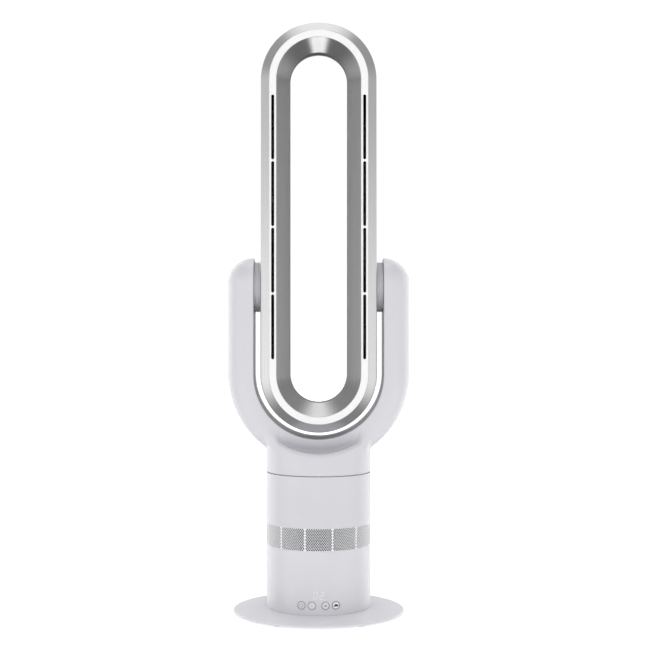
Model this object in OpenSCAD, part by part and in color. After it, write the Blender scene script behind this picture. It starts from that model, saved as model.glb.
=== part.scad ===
// Bladeless fan: a tall air loop that tilts in a forked yoke, on a round column that holds the
// motor, with a flat round base plate. The front faces -Y, and the floor is at z = 0.

/* [Base plate] */
// Diameter of the round base plate
base_d = 239; // [215:1:300]
// Thickness of the plate at its rim
base_rim_h = 3; // [2.4:0.2:4]
// Thickness of the plate where the column stands on it
base_crown_h = 7; // [6:0.5:10]
// Diameter of the steel ballast disc under the plate
ballast_d = 190; // [155:5:195]
// Thickness of the steel ballast disc
ballast_t = 3; // [2:0.2:3.6]
// Height of the rubber feet below the plate
foot_h = 1.5; // [1:0.5:3]
// Diameter of one rubber foot
foot_d = 16; // [10:1:19]
// Number of rubber feet
foot_count = 6; // [4:1:8]

/* [Column] */
// Outer diameter of the column
column_d = 145; // [138:1:160]
// Wall thickness of the column housings
column_wall = 2.6; // [2:0.2:3.2]
// Height of the lower housing, from the plate to the intake grille
lower_h = 86.5; // [78:0.5:105]
// Height of the intake grille
grille_h = 31; // [25:1:38]
// Height of the upper housing, from the grille to the swing seam
upper_h = 69.6; // [67.2:0.4:84]
// Open gap of the swing seam between the column and the yoke
seam_gap = 0.8; // [0.4:0.1:1.5]
// Thickness of the floor that closes the column
floor_t = 3; // [2.4:0.2:4]
// Diameter of the iron counterweight on the floor
counterweight_d = 52; // [40:1:58]
// Height of the iron counterweight
counterweight_h = 20; // [12:1:24]

/* [Keys and display] */
// Diameter of one round key
key_d = 10.8; // [8.8:0.2:12.4]
// Height of the key row above the foot of the column
key_rise = 13.5; // [12:0.5:15]
// Sideways distance from the middle to the two inner keys
key_inner_x = 9.3; // [8:0.1:10.5]
// Sideways distance from the middle to the two outer keys
key_outer_x = 23.4; // [22:0.2:26]
// Travel of a key when it is pressed
key_travel = 0.8; // [0.5:0.1:1]
// Height of one display digit
digit_h = 11; // [9:0.5:12]
// Width of one display digit
digit_w = 6.3; // [5:0.1:7]
// Distance between the two digits' centres
digit_pitch = 8.4; // [8:0.1:10]
// Height of the digits' centre above the foot of the column
digit_rise = 27; // [26.5:0.5:34]
// Width of one display segment
segment_w = 1; // [0.7:0.1:1.3]
// Gap between two display segments
segment_gap = 0.3; // [0.2:0.05:0.4]

/* [Mains inlet] */
// Width of the inlet body
inlet_w = 24; // [21:1:28]
// Height of the inlet body
inlet_h = 13; // [11:0.5:16]
// Length of the inlet body, from its face inwards
inlet_l = 18; // [14:1:21]
// Distance between the two contact pins
pin_pitch = 8.6; // [8:0.1:9.5]
// Diameter of one contact pin
pin_d = 2.4; // [2:0.1:2.8]
// Height of the inlet above the foot of the column
inlet_rise = 17; // [15:0.5:19]

/* [Intake grille] */
// Number of upright ribs round the grille
rib_count = 12; // [8:1:16]
// Width of one upright rib
rib_w = 3; // [2:0.2:4]
// Number of slots between two ribs
slots_per_panel = 6; // [4:1:7]
// Width of one thin bar between slots
bar_w = 1.6; // [1:0.1:2.2]
// Number of thin hoops between the top and bottom hoops
hoop_count = 2; // [1:1:3]
// Height of one hoop
hoop_h = 1.2; // [0.8:0.1:1.6]
// Thickness of the dust filter behind the grille
filter_t = 3; // [2:0.5:4]

/* [Air mover] */
// Diameter of the motor
motor_d = 53; // [44:1:58]
// Height of the motor
motor_h = 17; // [13:0.5:18]
// Diameter of the motor shaft
shaft_d = 5; // [4:0.5:6]
// Height of the impeller
impeller_h = 26; // [20:1:28]
// Number of impeller blades
blade_count = 9; // [5:1:13]
// Thickness of one impeller blade
blade_t = 1.4; // [1:0.1:1.8]
// Lean of the blades against the shaft, in degrees
blade_lean = 38; // [20:1:50]
// Number of guide vanes above the impeller
vane_count = 11; // [7:1:13]
// Wall thickness of the shroud and diffuser
duct_wall = 2; // [1.6:0.1:2.4]

/* [Swing drive] */
// Diameter of the swing gear motor
gear_motor_d = 20; // [16:0.5:20.5]
// Height of the swing gear motor
gear_motor_h = 17; // [12:1:20]
// Diameter of the gear motor's output shaft
output_d = 5; // [4:0.5:6]
// Number of teeth of a full ring gear, of which the sector is a part
ring_teeth = 122; // [116:2:128]
// Number of teeth of the drive pinion
pinion_teeth = 16; // [14:1:18]
// Height of the gear teeth
gear_h = 4.4; // [3.6:0.2:5]
// Angle that the toothed sector covers, in degrees
sector_angle = 106; // [100:2:116]
// Thickness of the fixed bearing plate
bearing_plate_t = 3.5; // [3:0.1:4]
// Thickness of the turntable
turntable_t = 3.9; // [3.4:0.1:4.6]
// Width of the slide ring between plate and turntable
slide_ring_w = 3; // [2.4:0.2:3.6]

/* [Yoke] */
// Radius of the half-round section of the yoke's arms
arm_r = 37; // [35:0.5:44]
// Gap between the loop and the yoke
yoke_gap = 9.6; // [6.4:0.1:12]
// Wall thickness of the yoke shells
yoke_wall = 2.6; // [2.2:0.2:3.2]
// Height from the swing seam to the floor of the fork
neck_rise = 46.8; // [44:0.1:58]
// Height from the centre of the fork's round floor to the pivot axis
pivot_rise = 120.5; // [100:0.5:130]
// Height of the centre of the arms' round ends above the pivot axis
dome_rise = 3.4; // [0:0.2:6]
// Width of the fork's face left in front of the round shoulder of the neck
shoulder_w = 12.6; // [10:0.1:18]

/* [Pivots] */
// Width of the arm's round cheek left bare around the visible collar
cheek_w = 2; // [1.6:0.1:6]
// Step in radius from the collar down to the hollow journal that turns in the bush
collar_step = 7.4; // [7:0.1:10]
// Wall thickness of the hollow journal round the air passage
journal_t = 4; // [3.4:0.1:7]
// Wall thickness of the bush
bush_t = 3; // [2.4:0.2:3.6]
// Length of the bush seat in the yoke's cheek
seat_l = 8; // [6:0.5:10]

/* [Loop] */
// Width of the loop
loop_w = 160; // [150:1:166]
// Height of the loop
loop_h = 565.2; // [540:0.4:640]
// Depth of the loop, front to back
loop_depth = 90; // [84:1:94]
// Width of the open middle of the loop
opening_w = 80; // [72:1:84]
// Wall thickness of the loop's rear shell
loop_wall = 2.4; // [2:0.2:2.8]
// Width of the outer bevel, seen from the front
outer_bevel_w = 12.2; // [11:0.1:14]
// Depth of the outer bevel
outer_bevel_depth = 7; // [5:0.5:8.4]
// Width of the inner bevel, seen from the front
inner_bevel_w = 18.2; // [15:0.1:19]
// Depth of the inner bevel
inner_bevel_depth = 20; // [16:0.5:23]
// Depth of the straight part of the inner wall, behind the inner bevel
inner_wall_l = 25; // [12:1:30]
// Radius of the curve that opens the inner wall towards the back
inner_sweep_r = 75; // [66:1:110]
// Thickness of the bezels
bezel_t = 2.2; // [1.8:0.1:2.6]
// Radius of the loop's rounded back edges
back_round = 9; // [6:0.5:9.5]
// Width of the small chamfer round the front outer edge
edge_break = 1.8; // [1.2:0.1:2.2]

/* [Air outlet] */
// Number of slots on each side
slot_count = 4; // [3:1:4]
// Length of one slot
slot_l = 88.8; // [70:0.5:94]
// Distance between two slots' ends
slot_gap = 2.5; // [1.8:0.1:4]
// Width of one slot
slot_w = 3.2; // [2.4:0.2:4]
// Depth of the nozzle behind the slots
nozzle_depth = 22; // [16:1:26]

/* [Fasteners] */
// Diameter of the housing screws
screw_d = 3; // [2.5:0.1:3.5]
// Diameter of the housing screws' heads
screw_head_d = 5.6; // [5:0.1:6.4]
// Height of the housing screws' heads
screw_head_h = 2; // [1.6:0.1:2.4]
// Diameter of the base screws
base_screw_d = 4; // [3.4:0.1:4.6]
// Diameter of the base screws' heads
base_head_d = 8; // [7:0.1:9]

/* [Hidden] */
$fn = 72;

// Colours, as the photograph shows them
shell_grey = [0.85, 0.84, 0.87];
silver = [0.76, 0.76, 0.77];
pale_silver = [0.93, 0.93, 0.93];
dark_silver = [0.52, 0.52, 0.52];
collar_grey = [0.63, 0.63, 0.65];
black_plastic = [0.05, 0.05, 0.06];
steel = [0.7, 0.71, 0.73];
iron = [0.25, 0.25, 0.27];
rubber_black = [0.1, 0.1, 0.1];
board_green = [0.1, 0.35, 0.2];
nylon = [0.93, 0.92, 0.88];
brass = [0.8, 0.65, 0.3];
glow_white = [0.97, 0.97, 1];

// Clearances, and one overrun for every cut
cut = 1;
air_gap = 1;
fit = 0.15;
running = 0.06;
moving = 0.3;
thread_clear = 0.05;
slot_share = 0.6;

// Base plate
base_r = base_d / 2;
ballast_r = ballast_d / 2;
foot_seat = 1;
ballast_seat = ballast_t + fit;
plate_z = foot_h;
column_z = plate_z + base_crown_h;
column_r = column_d / 2;
column_in_r = column_r - column_wall;
crown_margin = 1.5;
foot_ring_r = (ballast_r + base_r) / 2;
base_screw_ring_r = 55;
base_screw_l = 17;
base_head_h = 2.4;
base_screw_angles = [45, 135, 225, 315];
counterweight_shift = 8.7;

// Levels up the column
floor_z = column_z + floor_t;
grille_z = column_z + lower_h;
upper_z = grille_z + grille_h;
seam_z = upper_z + upper_h;
yoke_z = seam_z + seam_gap;
lip_h = 4;
lip_t = 2;
ledge_h = 3;
ledge_w = 3.3;
deck_t = 2.5;
deck_z = grille_z - lip_h - deck_t;
lug_r = 5;
lug_h = 14;

// Keys
key_r = key_d / 2;
key_z = column_z + key_rise;
key_clear = 0.3;
key_depth = 7.4;
key_back_y = -(column_in_r - key_depth);
key_proud = 0.25;
stem_r = 2.1;
board_t = 1.6;
board_behind_keys = 8.4;
board_y = key_back_y + board_behind_keys;
board_w = 64;
board_h = 39;
switch_w = 6;
switch_l = 3.4;
plunger_r = 1.7;
plunger_l = 0.5;
stem_end_y = board_y - switch_l - plunger_l - key_travel - key_clear;
guide_t = 1.6;
guide_y = stem_end_y - guide_t - key_clear;
guide_w = 2 * (key_outer_x + key_r + guide_t);
guide_margin = 1.2;
spacer_r = 1.5;
guide_foot_x = key_outer_x + key_r;
board_stop_w = 4;
board_stop_h = 20;

// Display
digit_z = column_z + digit_rise;
digit_depth = 0.5;
digit_lean = 6;
display_margin = 0.6;
display_wall_gap = 1.2;
// Lit segments of the digits 0 and 2, in the order top, upper right, lower right, bottom,
// lower left, upper left, middle
digit_segments = [[1, 1, 1, 1, 1, 1, 0], [1, 1, 0, 1, 1, 0, 1]];
// Middle of each segment, as shares of half the digit's width and height, and 1 where it lies flat
segment_shares = [
    [0, 1, 1], [1, 0.5, 0], [1, -0.5, 0], [0, -1, 1], [-1, -0.5, 0], [-1, 0.5, 0], [0, 0, 1]
];

// Mains inlet
inlet_z = column_z + inlet_rise;
inlet_face_y = sqrt(pow(column_r, 2) - pow(inlet_w / 2, 2)) - fit;
socket_r = 4;
socket_l = 12;
pin_l = 9.5;
inlet_shelf_t = 6;

// Power board
power_board_w = 70;
power_board_l = 50;
power_board_lift = 6;
power_board_z = inlet_z + inlet_h / 2 + power_board_lift;
power_board_y = inlet_face_y - inlet_l - power_board_l / 2;
power_post_r = 3;
power_post_inset = 4;
transformer_w = 26;
transformer_l = 24;
transformer_h = 20;
capacitor_r = 7;
capacitor_h = 18;
capacitor_x = 18;
capacitor_pitch = 18;

// Grille
panel_angle = 360 / rib_count;
rib_angle = 2 * asin(rib_w / 2 / column_r);
slot_angle = (panel_angle - rib_angle) / slots_per_panel;
filter_margin = 0.3;

// Swing drive, worked out from the column's inside
sector_rim = 3.2;
pinion_clear = 1.5;
tooth_rise_share = 0.9;
tooth_fall_share = 1.2;
journal_wall = 2.5;
turntable_r = column_in_r - seam_gap;
slide_in_r = column_in_r - fit - slide_ring_w;
sector_out_r = slide_in_r - moving;
ring_pitch_r = (sector_out_r - sector_rim) / (1 + 2 * tooth_fall_share / ring_teeth);
gear_module = 2 * ring_pitch_r / ring_teeth;
backlash = 0.24;
pressure_angle = 20;
pinion_pitch_r = gear_module * pinion_teeth / 2;
pinion_axis_y = ring_pitch_r - pinion_pitch_r;
swing_journal_r = pinion_axis_y - pinion_pitch_r - gear_module - pinion_clear;
duct_r = swing_journal_r - journal_wall;
turntable_z = yoke_z - turntable_t;
slide_lift = 0.1;
gear_air = 0.3;
gear_z = turntable_z - gear_h;
bearing_top_z = gear_z - gear_air - moving;
bearing_z = bearing_top_z - bearing_plate_t;
clip_t = 1.4;
clip_bite = 1.1;
clip_z = bearing_z - moving - clip_t;
journal_end_z = clip_z - clip_t;
clip_gap = 8;
bearing_screw_l = 9;
bearing_screw_angles = [200, 270, 340];
bearing_screw_inset = 7.8;
bearing_screw_r = column_in_r - bearing_screw_inset;
turntable_screw_inset = 11.8;
turntable_screw_r = column_in_r - turntable_screw_inset;
turntable_screw_angles = [15, 165, 195, 345];
turntable_screw_l = 12;
output_r = output_d / 2;
gear_motor_r = gear_motor_d / 2;
gear_motor_y = pinion_axis_y + gear_motor_r / 2;
output_sunk = 6;
gear_motor_ear_w = 8;
gear_motor_ear_t = 1.2;
gear_motor_ear_x = gear_motor_r + gear_motor_ear_w / 2;
gear_motor_screw_l = 4;

// Air mover, worked out from what the drive leaves free
shroud_out_r = gear_motor_y - gear_motor_r - duct_wall - moving;
shroud_r = shroud_out_r - duct_wall;
seal_r = shroud_out_r + fit;
seal_top_z = bearing_z - fit;
shroud_top_z = journal_end_z - air_gap;
clip_r = seal_r - 2 * moving;
bellmouth_lift = 1.2;
bellmouth_z = upper_z + bellmouth_lift;
bellmouth_t = 2;
throat_inset = 4;
nose_r = 2.4;
shroud_z = bellmouth_z + bellmouth_t;
shroud_foot_w = 6;
seal_h = 9;
motor_r = motor_d / 2;
shaft_r = shaft_d / 2;
tip_clear = 0.6;
impeller_z = shroud_z + tip_clear;
impeller_top_z = impeller_z + impeller_h;
hub_r = motor_r + duct_wall + fit;
hub_nose_share = 0.45;
diffuser_z = impeller_top_z + 2 * tip_clear;
diffuser_top_z = shroud_top_z - air_gap;
motor_z = diffuser_z + duct_wall;
shaft_hole_r = shaft_r + air_gap;
shaft_below = 2;
vane_t = 1.4;
vane_lean = 24;
cone_h = 9;
cone_tip_share = 0.4;
mount_h = 5;
mount_r = 5;
post_r = 3.2;
post_ring_r = shroud_out_r + shroud_foot_w + mount_r;
post_angles = [30, 150, 270];
cable_hole_r = 6;

// Yoke
yoke_in_r = loop_w / 2 + yoke_gap;
arc_z = yoke_z + neck_rise + yoke_in_r;
pivot_z = arc_z + pivot_rise;
dome_z = pivot_z + dome_rise;
scoop_r = yoke_in_r + shoulder_w;
yoke_split = 0.1;
yoke_boss_r = 4;
yoke_seat_y = 8;
yoke_screw_l = 18;
neck_boss_h = 20;
neck_screw_x_share = 0.55;
neck_screw_rise = 12;
neck_screw_x = neck_screw_x_share * column_r;
neck_screw_z = yoke_z + neck_screw_rise;
elbow_angle = 52;
arm_screw_rise = 52;
boss_arc_r = yoke_in_r + arm_r / 2;
yoke_screw_places = [
    for (side = [-1, 1]) each [
        [side * neck_screw_x, neck_screw_z],
        [side * boss_arc_r * sin(elbow_angle), arc_z - boss_arc_r * cos(elbow_angle)],
        [side * boss_arc_r, arc_z + arm_screw_rise]
    ]
];

// Pivots
collar_r = arm_r - cheek_w;
journal_r = collar_r - collar_step;
air_bore_r = journal_r - journal_t;
bush_r = journal_r + running + bush_t;
bush_flange_t = 1.5;
bush_flange_w = 2;
seat_r = bush_r + fit;
spigot_step = 1;
spigot_r = journal_r - spigot_step;
spigot_l = 7;
washer_t = 0.8;
washer_w = 3.4;
groove_depth = 1;
clip_stack_x = yoke_in_r + seat_l + bush_flange_t + fit + washer_t + fit;
journal_tip = 1.4;
collar_groove_w = 1.1;
collar_groove_depth = 0.8;
collar_groove_shares = [0.2, 0.8];

// Loop
loop_r = loop_w / 2;
opening_r = opening_w / 2;
loop_front = loop_depth / 2;
loop_back = -loop_depth / 2;
straight_l = loop_h - loop_w;
top_arc_z = arc_z + straight_l;
band_in_r = opening_r + inner_bevel_w;
band_out_r = loop_r - outer_bevel_w;
band_mid_r = (band_in_r + band_out_r) / 2;
band_sunk = 0.8;
outer_edge_y = loop_front - outer_bevel_depth;
bezel_skirt = 1;
bezel_foot_y = outer_edge_y - edge_break - bezel_skirt;
inner_edge_y = loop_front - inner_bevel_depth;
inner_foot_y = inner_edge_y - bezel_skirt;
inner_sweep_y = inner_edge_y - inner_wall_l;
frame_leg_l = 7;
boss_r = 4;
boss_inset = 13;
boss_ring_r = opening_r + boss_inset;
boss_step = 6;
boss_split_y = inner_foot_y - boss_step;
boss_seat_y = boss_split_y - boss_step;
loop_joint = 0.1;
loop_screw_l = 14;
loop_screw_rise_shares = [0.1, 0.5, 0.9];

// Outlet
nozzle_wall = 1.2;
nozzle_front_y = loop_front - band_sunk - bezel_t;
nozzle_half_w = slot_w / 2 + nozzle_wall;
slot_pitch = slot_l + slot_gap;
slots_l = slot_count * slot_l + (slot_count - 1) * slot_gap;
slots_z = arc_z + straight_l / 2 - slots_l / 2;
mid_rib_t = 1;
mid_rib_sunk = 2;

// Ring of height h standing on z = 0
module ring(outer_r, inner_r, h) {
    difference() {
        cylinder(r = outer_r, h = h);
        translate([0, 0, -cut]) cylinder(r = inner_r, h = h + 2 * cut);
    }
}

// Copies at radius r and the given angles
module at_angles(angles, r) {
    for (a = angles) rotate([0, 0, a]) translate([r, 0, 0]) children();
}

// Cross-head screw: its head lies below z = 0 and its shank rises from there
module screw(shank_r, shank_l, head_r, head_h) {
    slot = shank_r / 2;
    difference() {
        union() {
            cylinder(r = shank_r, h = shank_l);
            translate([0, 0, -head_h]) cylinder(r = head_r, h = head_h);
        }
        for (turn = [0, 90]) rotate([0, 0, turn])
            translate([-head_r * slot_share, -slot / 2, -head_h - cut])
                cube([2 * head_r * slot_share, slot, head_h / 2 + cut]);
    }
}

// Centred plate that stands on z = 0
module slab(w, l, h) {
    translate([-w / 2, -l / 2, 0]) cube([w, l, h]);
}

// Base plate

module base_cover() {
    color(shell_grey) difference() {
        translate([0, 0, plate_z]) rotate_extrude() polygon([
            [0, 0], [base_r - base_rim_h / 3, 0], [base_r, base_rim_h / 3],
            [base_r, base_rim_h * 2 / 3], [base_r - base_rim_h / 3, base_rim_h],
            [column_r + crown_margin, base_crown_h], [0, base_crown_h]
        ]);
        translate([0, 0, plate_z - cut]) cylinder(r = ballast_r + fit, h = ballast_seat + cut);
        at_angles([for (i = [1:foot_count]) i * 360 / foot_count], foot_ring_r)
            translate([0, 0, plate_z - cut]) cylinder(r = foot_d / 2 + fit, h = foot_seat + cut);
        at_angles(base_screw_angles, base_screw_ring_r)
            cylinder(r = base_screw_d / 2 + fit, h = column_z + cut);
    }
}

module ballast_disc() {
    color(iron) difference() {
        translate([0, 0, plate_z]) cylinder(r = ballast_r, h = ballast_t);
        at_angles(base_screw_angles, base_screw_ring_r)
            cylinder(r = base_head_d / 2 + moving, h = plate_z + ballast_t + cut);
    }
}

module rubber_feet() {
    color(rubber_black) at_angles([for (i = [1:foot_count]) i * 360 / foot_count], foot_ring_r)
        cylinder(r = foot_d / 2, h = foot_h + foot_seat);
}

module base_screws() {
    color(steel) at_angles(base_screw_angles, base_screw_ring_r)
        translate([0, 0, plate_z + ballast_seat])
            screw(base_screw_d / 2, base_screw_l, base_head_d / 2, base_head_h);
}

// Lower column

module column_floor() {
    color(black_plastic) difference() {
        union() {
            translate([0, 0, column_z]) cylinder(r = column_in_r - fit, h = floor_t);
            // Stops behind the control board
            for (side = [-1, 1])
                translate([
                    side * (board_w / 2 - board_stop_w),
                    board_y + board_t + board_stop_w / 2,
                    floor_z
                ]) slab(board_stop_w, board_stop_w, board_stop_h);
            // Shelf under the mains inlet
            translate([0, inlet_face_y - inlet_l + inlet_shelf_t, floor_z])
                slab(inlet_w, inlet_shelf_t, inlet_z - inlet_h / 2 - floor_z);
            power_posts();
        }
        at_angles(base_screw_angles, base_screw_ring_r)
            translate([0, 0, column_z - cut])
                cylinder(r = base_screw_d / 2 + fit, h = floor_t + 2 * cut);
    }
}

module power_posts() {
    for (x = [-1, 1], y = [-1, 1])
        translate([
            x * (power_board_w / 2 - power_post_inset),
            power_board_y + y * (power_board_l / 2 - power_post_inset),
            floor_z
        ]) cylinder(r = power_post_r, h = power_board_z - floor_z);
}

module counterweight() {
    color(iron) translate([0, -counterweight_shift, floor_z])
        cylinder(r = counterweight_d / 2, h = counterweight_h);
}

module lower_housing() {
    color(shell_grey) difference() {
        union() {
            translate([0, 0, column_z]) ring(column_r, column_in_r, lower_h);
            translate([0, 0, deck_z - ledge_h])
                ring(column_in_r + fit, column_in_r - ledge_w, ledge_h);
            // Lugs that take the base screws, each with a web to the wall
            intersection() {
                translate([0, 0, floor_z]) cylinder(r = column_r - column_wall / 2, h = lug_h);
                at_angles(base_screw_angles, base_screw_ring_r) union() {
                    translate([0, 0, floor_z]) cylinder(r = lug_r, h = lug_h);
                    translate([column_wall, -column_wall / 2, floor_z])
                        cube([column_r, column_wall, lug_h]);
                }
            }
        }
        at_angles(base_screw_angles, base_screw_ring_r)
            translate([0, 0, floor_z - cut])
                cylinder(r = base_screw_d / 2 + thread_clear, h = lug_h + 2 * cut);
        for (x = key_places) key_bore(x, key_r + key_clear);
        display_bars(fit / 2, digit_depth + fit / 2, cut);
        translate([0, column_in_r, inlet_z - inlet_h / 2 - fit])
            slab(inlet_w + 2 * fit, column_wall * 4, inlet_h + 2 * fit);
    }
}

// Keys and display

key_places = [-key_outer_x, -key_inner_x, key_inner_x, key_outer_x];

module key_bore(x, r) {
    translate([x, -column_r / 2, key_z]) rotate([90, 0, 0]) cylinder(r = r, h = column_r);
}

// Round key: its cap fills the hole in the wall, and its stem reaches back to its switch
module key(x) {
    cap_l = column_r + key_proud + key_back_y;
    color(pale_silver) {
        intersection() {
            translate([x, key_back_y, key_z]) rotate([90, 0, 0]) cylinder(r = key_r, h = cap_l + cut);
            translate([0, 0, key_z - key_d]) cylinder(r = column_r + key_proud, h = 2 * key_d);
        }
        translate([x, stem_end_y, key_z]) rotate([90, 0, 0])
            cylinder(r = stem_r, h = stem_end_y - key_back_y);
    }
}

module power_key() key(key_places[0]);
module timer_key() key(key_places[1]);
module mode_key() key(key_places[2]);
module speed_key() key(key_places[3]);

// One segment bar of a digit, before it is trimmed to the wall
module segment_bar(i, grow) {
    half_w = (digit_w - segment_w) / 2;
    half_h = (digit_h - segment_w) / 2;
    across = segment_shares[i][0] * half_w;
    level = segment_shares[i][1] * half_h;
    lies_flat = segment_shares[i][2] == 1;
    w = (lies_flat ? 2 * (half_w - segment_gap) - segment_w : segment_w) + 2 * grow;
    h = (lies_flat ? segment_w : half_h - segment_gap - segment_w) + 2 * grow;
    translate([across + level * tan(digit_lean) - w / 2, -column_r - cut, level - h / 2])
        cube([w, column_r / 2, h]);
}

// Every lit segment, as thick as depth, reaching above the wall's surface by above
module display_bars(grow, depth, above) {
    intersection() {
        translate([0, 0, digit_z - digit_h]) ring(column_r + above, column_r - depth, 2 * digit_h);
        translate([0, 0, digit_z])
            for (d = [0, 1], i = [0:len(segment_shares) - 1]) if (digit_segments[d][i] == 1)
                translate([(d - 1 / 2) * digit_pitch, 0, 0]) segment_bar(i, grow);
    }
}

module display_digits() {
    color(glow_white) display_bars(0, digit_depth, 0);
}

module display_module() {
    w = digit_pitch + digit_w + 2 * display_margin;
    h = digit_h + 2 * display_margin;
    front_y = -(column_in_r - display_wall_gap);
    color(rubber_black) translate([-w / 2, front_y, digit_z - h / 2])
        cube([w, board_y - front_y, h]);
}

module control_board() {
    color(board_green) translate([-board_w / 2, board_y, floor_z]) cube([board_w, board_t, board_h]);
}

module key_switches() {
    color(iron) for (x = key_places) translate([x, board_y, key_z]) {
        translate([-switch_w / 2, -switch_l, -switch_w / 2]) cube([switch_w, switch_l, switch_w]);
        translate([0, -switch_l, 0]) rotate([90, 0, 0]) cylinder(r = plunger_r, h = plunger_l);
    }
}

// Plate that guides the key stems, on four spacers from the board
module key_guide() {
    low = key_z - key_r - guide_margin;
    tall = key_d + 2 * guide_margin;
    color(nylon) difference() {
        union() {
            translate([-guide_w / 2, guide_y, low]) cube([guide_w, guide_t, tall]);
            for (x = [-1, 1], z = [low + spacer_r, low + tall - spacer_r])
                translate([x * guide_foot_x, board_y, z]) rotate([90, 0, 0])
                    cylinder(r = spacer_r, h = board_y - guide_y);
        }
        for (x = key_places) key_bore(x, stem_r + fit);
    }
}

// Mains inlet

module inlet_socket(r, l) {
    translate([0, inlet_face_y, inlet_z]) rotate([90, 0, 0]) {
        for (side = [-1, 1]) translate([side * pin_pitch / 2, 0, -cut]) cylinder(r = r, h = l + cut);
        translate([-pin_pitch / 2, -r, -cut]) cube([pin_pitch, 2 * r, l + cut]);
    }
}

module mains_inlet() {
    color(black_plastic) difference() {
        translate([0, inlet_face_y - inlet_l / 2, inlet_z - inlet_h / 2])
            slab(inlet_w, inlet_l, inlet_h);
        inlet_socket(socket_r, socket_l);
    }
}

module inlet_pins() {
    color(brass) for (side = [-1, 1])
        translate([side * pin_pitch / 2, inlet_face_y - socket_l + pin_l, inlet_z])
            rotate([90, 0, 0]) cylinder(r = pin_d / 2, h = pin_l);
}

module power_board() {
    color(board_green) translate([0, power_board_y, power_board_z])
        slab(power_board_w, power_board_l, board_t);
}

module power_components() {
    color(iron) translate([0, power_board_y, power_board_z + board_t]) {
        translate([-capacitor_x, 0, 0]) slab(transformer_w, transformer_l, transformer_h);
        for (y = [-1, 1]) translate([capacitor_x, y * capacitor_pitch / 2, 0])
            cylinder(r = capacitor_r, h = capacitor_h);
    }
}

// Intake grille and filter

module intake_grille() {
    hoop_pitch = (grille_h - hoop_h) / (hoop_count + 1);
    slot_gap_w = 2 * column_r * sin(slot_angle / 2) - bar_w;
    color(shell_grey) translate([0, 0, grille_z]) {
        for (i = [0:hoop_count + 1]) translate([0, 0, i * hoop_pitch])
            ring(column_r - (i == 0 || i > hoop_count ? 0 : fit), column_in_r, hoop_h);
        linear_extrude(grille_h) difference() {
            circle(r = column_r);
            circle(r = column_in_r);
            for (p = [0:rib_count - 1], s = [0:slots_per_panel - 1])
                rotate((p + 1 / 2) * panel_angle + rib_angle / 2 + (s + 1 / 2) * slot_angle - 90)
                    translate([column_in_r - cut, -slot_gap_w / 2])
                        square([column_wall + 2 * cut, slot_gap_w]);
        }
        // Lips that locate the grille in both housings
        for (z = [-lip_h, grille_h]) translate([0, 0, z])
            ring(column_in_r - fit, column_in_r - fit - lip_t, lip_h);
        for (z = [0, grille_h - hoop_h]) translate([0, 0, z])
            ring(column_in_r + fit, column_in_r - fit - lip_t, hoop_h);
    }
}

module filter_ring() {
    color(iron) translate([0, 0, grille_z + hoop_h + filter_margin])
        ring(column_in_r - fit, column_in_r - fit - filter_t, grille_h - 2 * hoop_h - 2 * filter_margin);
}

// Air mover

module motor_deck() {
    color(black_plastic) difference() {
        union() {
            translate([0, 0, deck_z]) cylinder(r = column_in_r - fit, h = deck_t);
            at_angles(post_angles, post_ring_r) translate([0, 0, deck_z])
                cylinder(r = post_r, h = bellmouth_z - mount_h - deck_z);
        }
        translate([0, 0, deck_z - cut]) cylinder(r = cable_hole_r, h = deck_t + 2 * cut);
    }
}

module rubber_mounts() {
    color(rubber_black) at_angles(post_angles, post_ring_r)
        translate([0, 0, bellmouth_z - mount_h]) cylinder(r = mount_r, h = mount_h);
}

module bellmouth() {
    throat_r = shroud_r - throat_inset;
    color(black_plastic) translate([0, 0, bellmouth_z]) rotate_extrude() union() {
        translate([throat_r + nose_r, 0])
            square([column_in_r - lip_t - 3 * fit - throat_r - nose_r, bellmouth_t]);
        translate([throat_r + nose_r, bellmouth_t - nose_r]) circle(r = nose_r);
    }
}

module fan_shroud() {
    color(black_plastic) {
        translate([0, 0, shroud_z]) ring(shroud_out_r, shroud_r, shroud_top_z - shroud_z);
        translate([0, 0, shroud_z]) ring(shroud_out_r + shroud_foot_w, shroud_r, duct_wall);
        translate([0, 0, seal_top_z - seal_h - duct_wall]) ring(seal_r + duct_wall, shroud_r, duct_wall);
    }
}

module duct_seal() {
    color(rubber_black) translate([0, 0, seal_top_z - seal_h]) ring(seal_r + duct_wall - fit, seal_r, seal_h);
}

module impeller() {
    color(nylon) translate([0, 0, impeller_z]) difference() {
        union() {
            cylinder(r1 = hub_r * hub_nose_share, r2 = hub_r, h = impeller_h);
            intersection() {
                ring(shroud_r - tip_clear, 2 * shaft_r, impeller_h);
                for (i = [1:blade_count]) rotate([0, 0, i * 360 / blade_count])
                    translate([shaft_r, -blade_t / 2, impeller_h / 2]) rotate([blade_lean, 0, 0])
                        translate([0, 0, -impeller_h]) cube([shroud_r, blade_t, 2 * impeller_h]);
            }
        }
        translate([0, 0, -cut]) cylinder(r = shaft_r + thread_clear, h = impeller_h + 2 * cut);
    }
}

module motor_shaft() {
    color(steel) translate([0, 0, impeller_z - shaft_below])
        cylinder(r = shaft_r, h = motor_z + motor_h * 2 / 3 - impeller_z + shaft_below);
}

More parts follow.
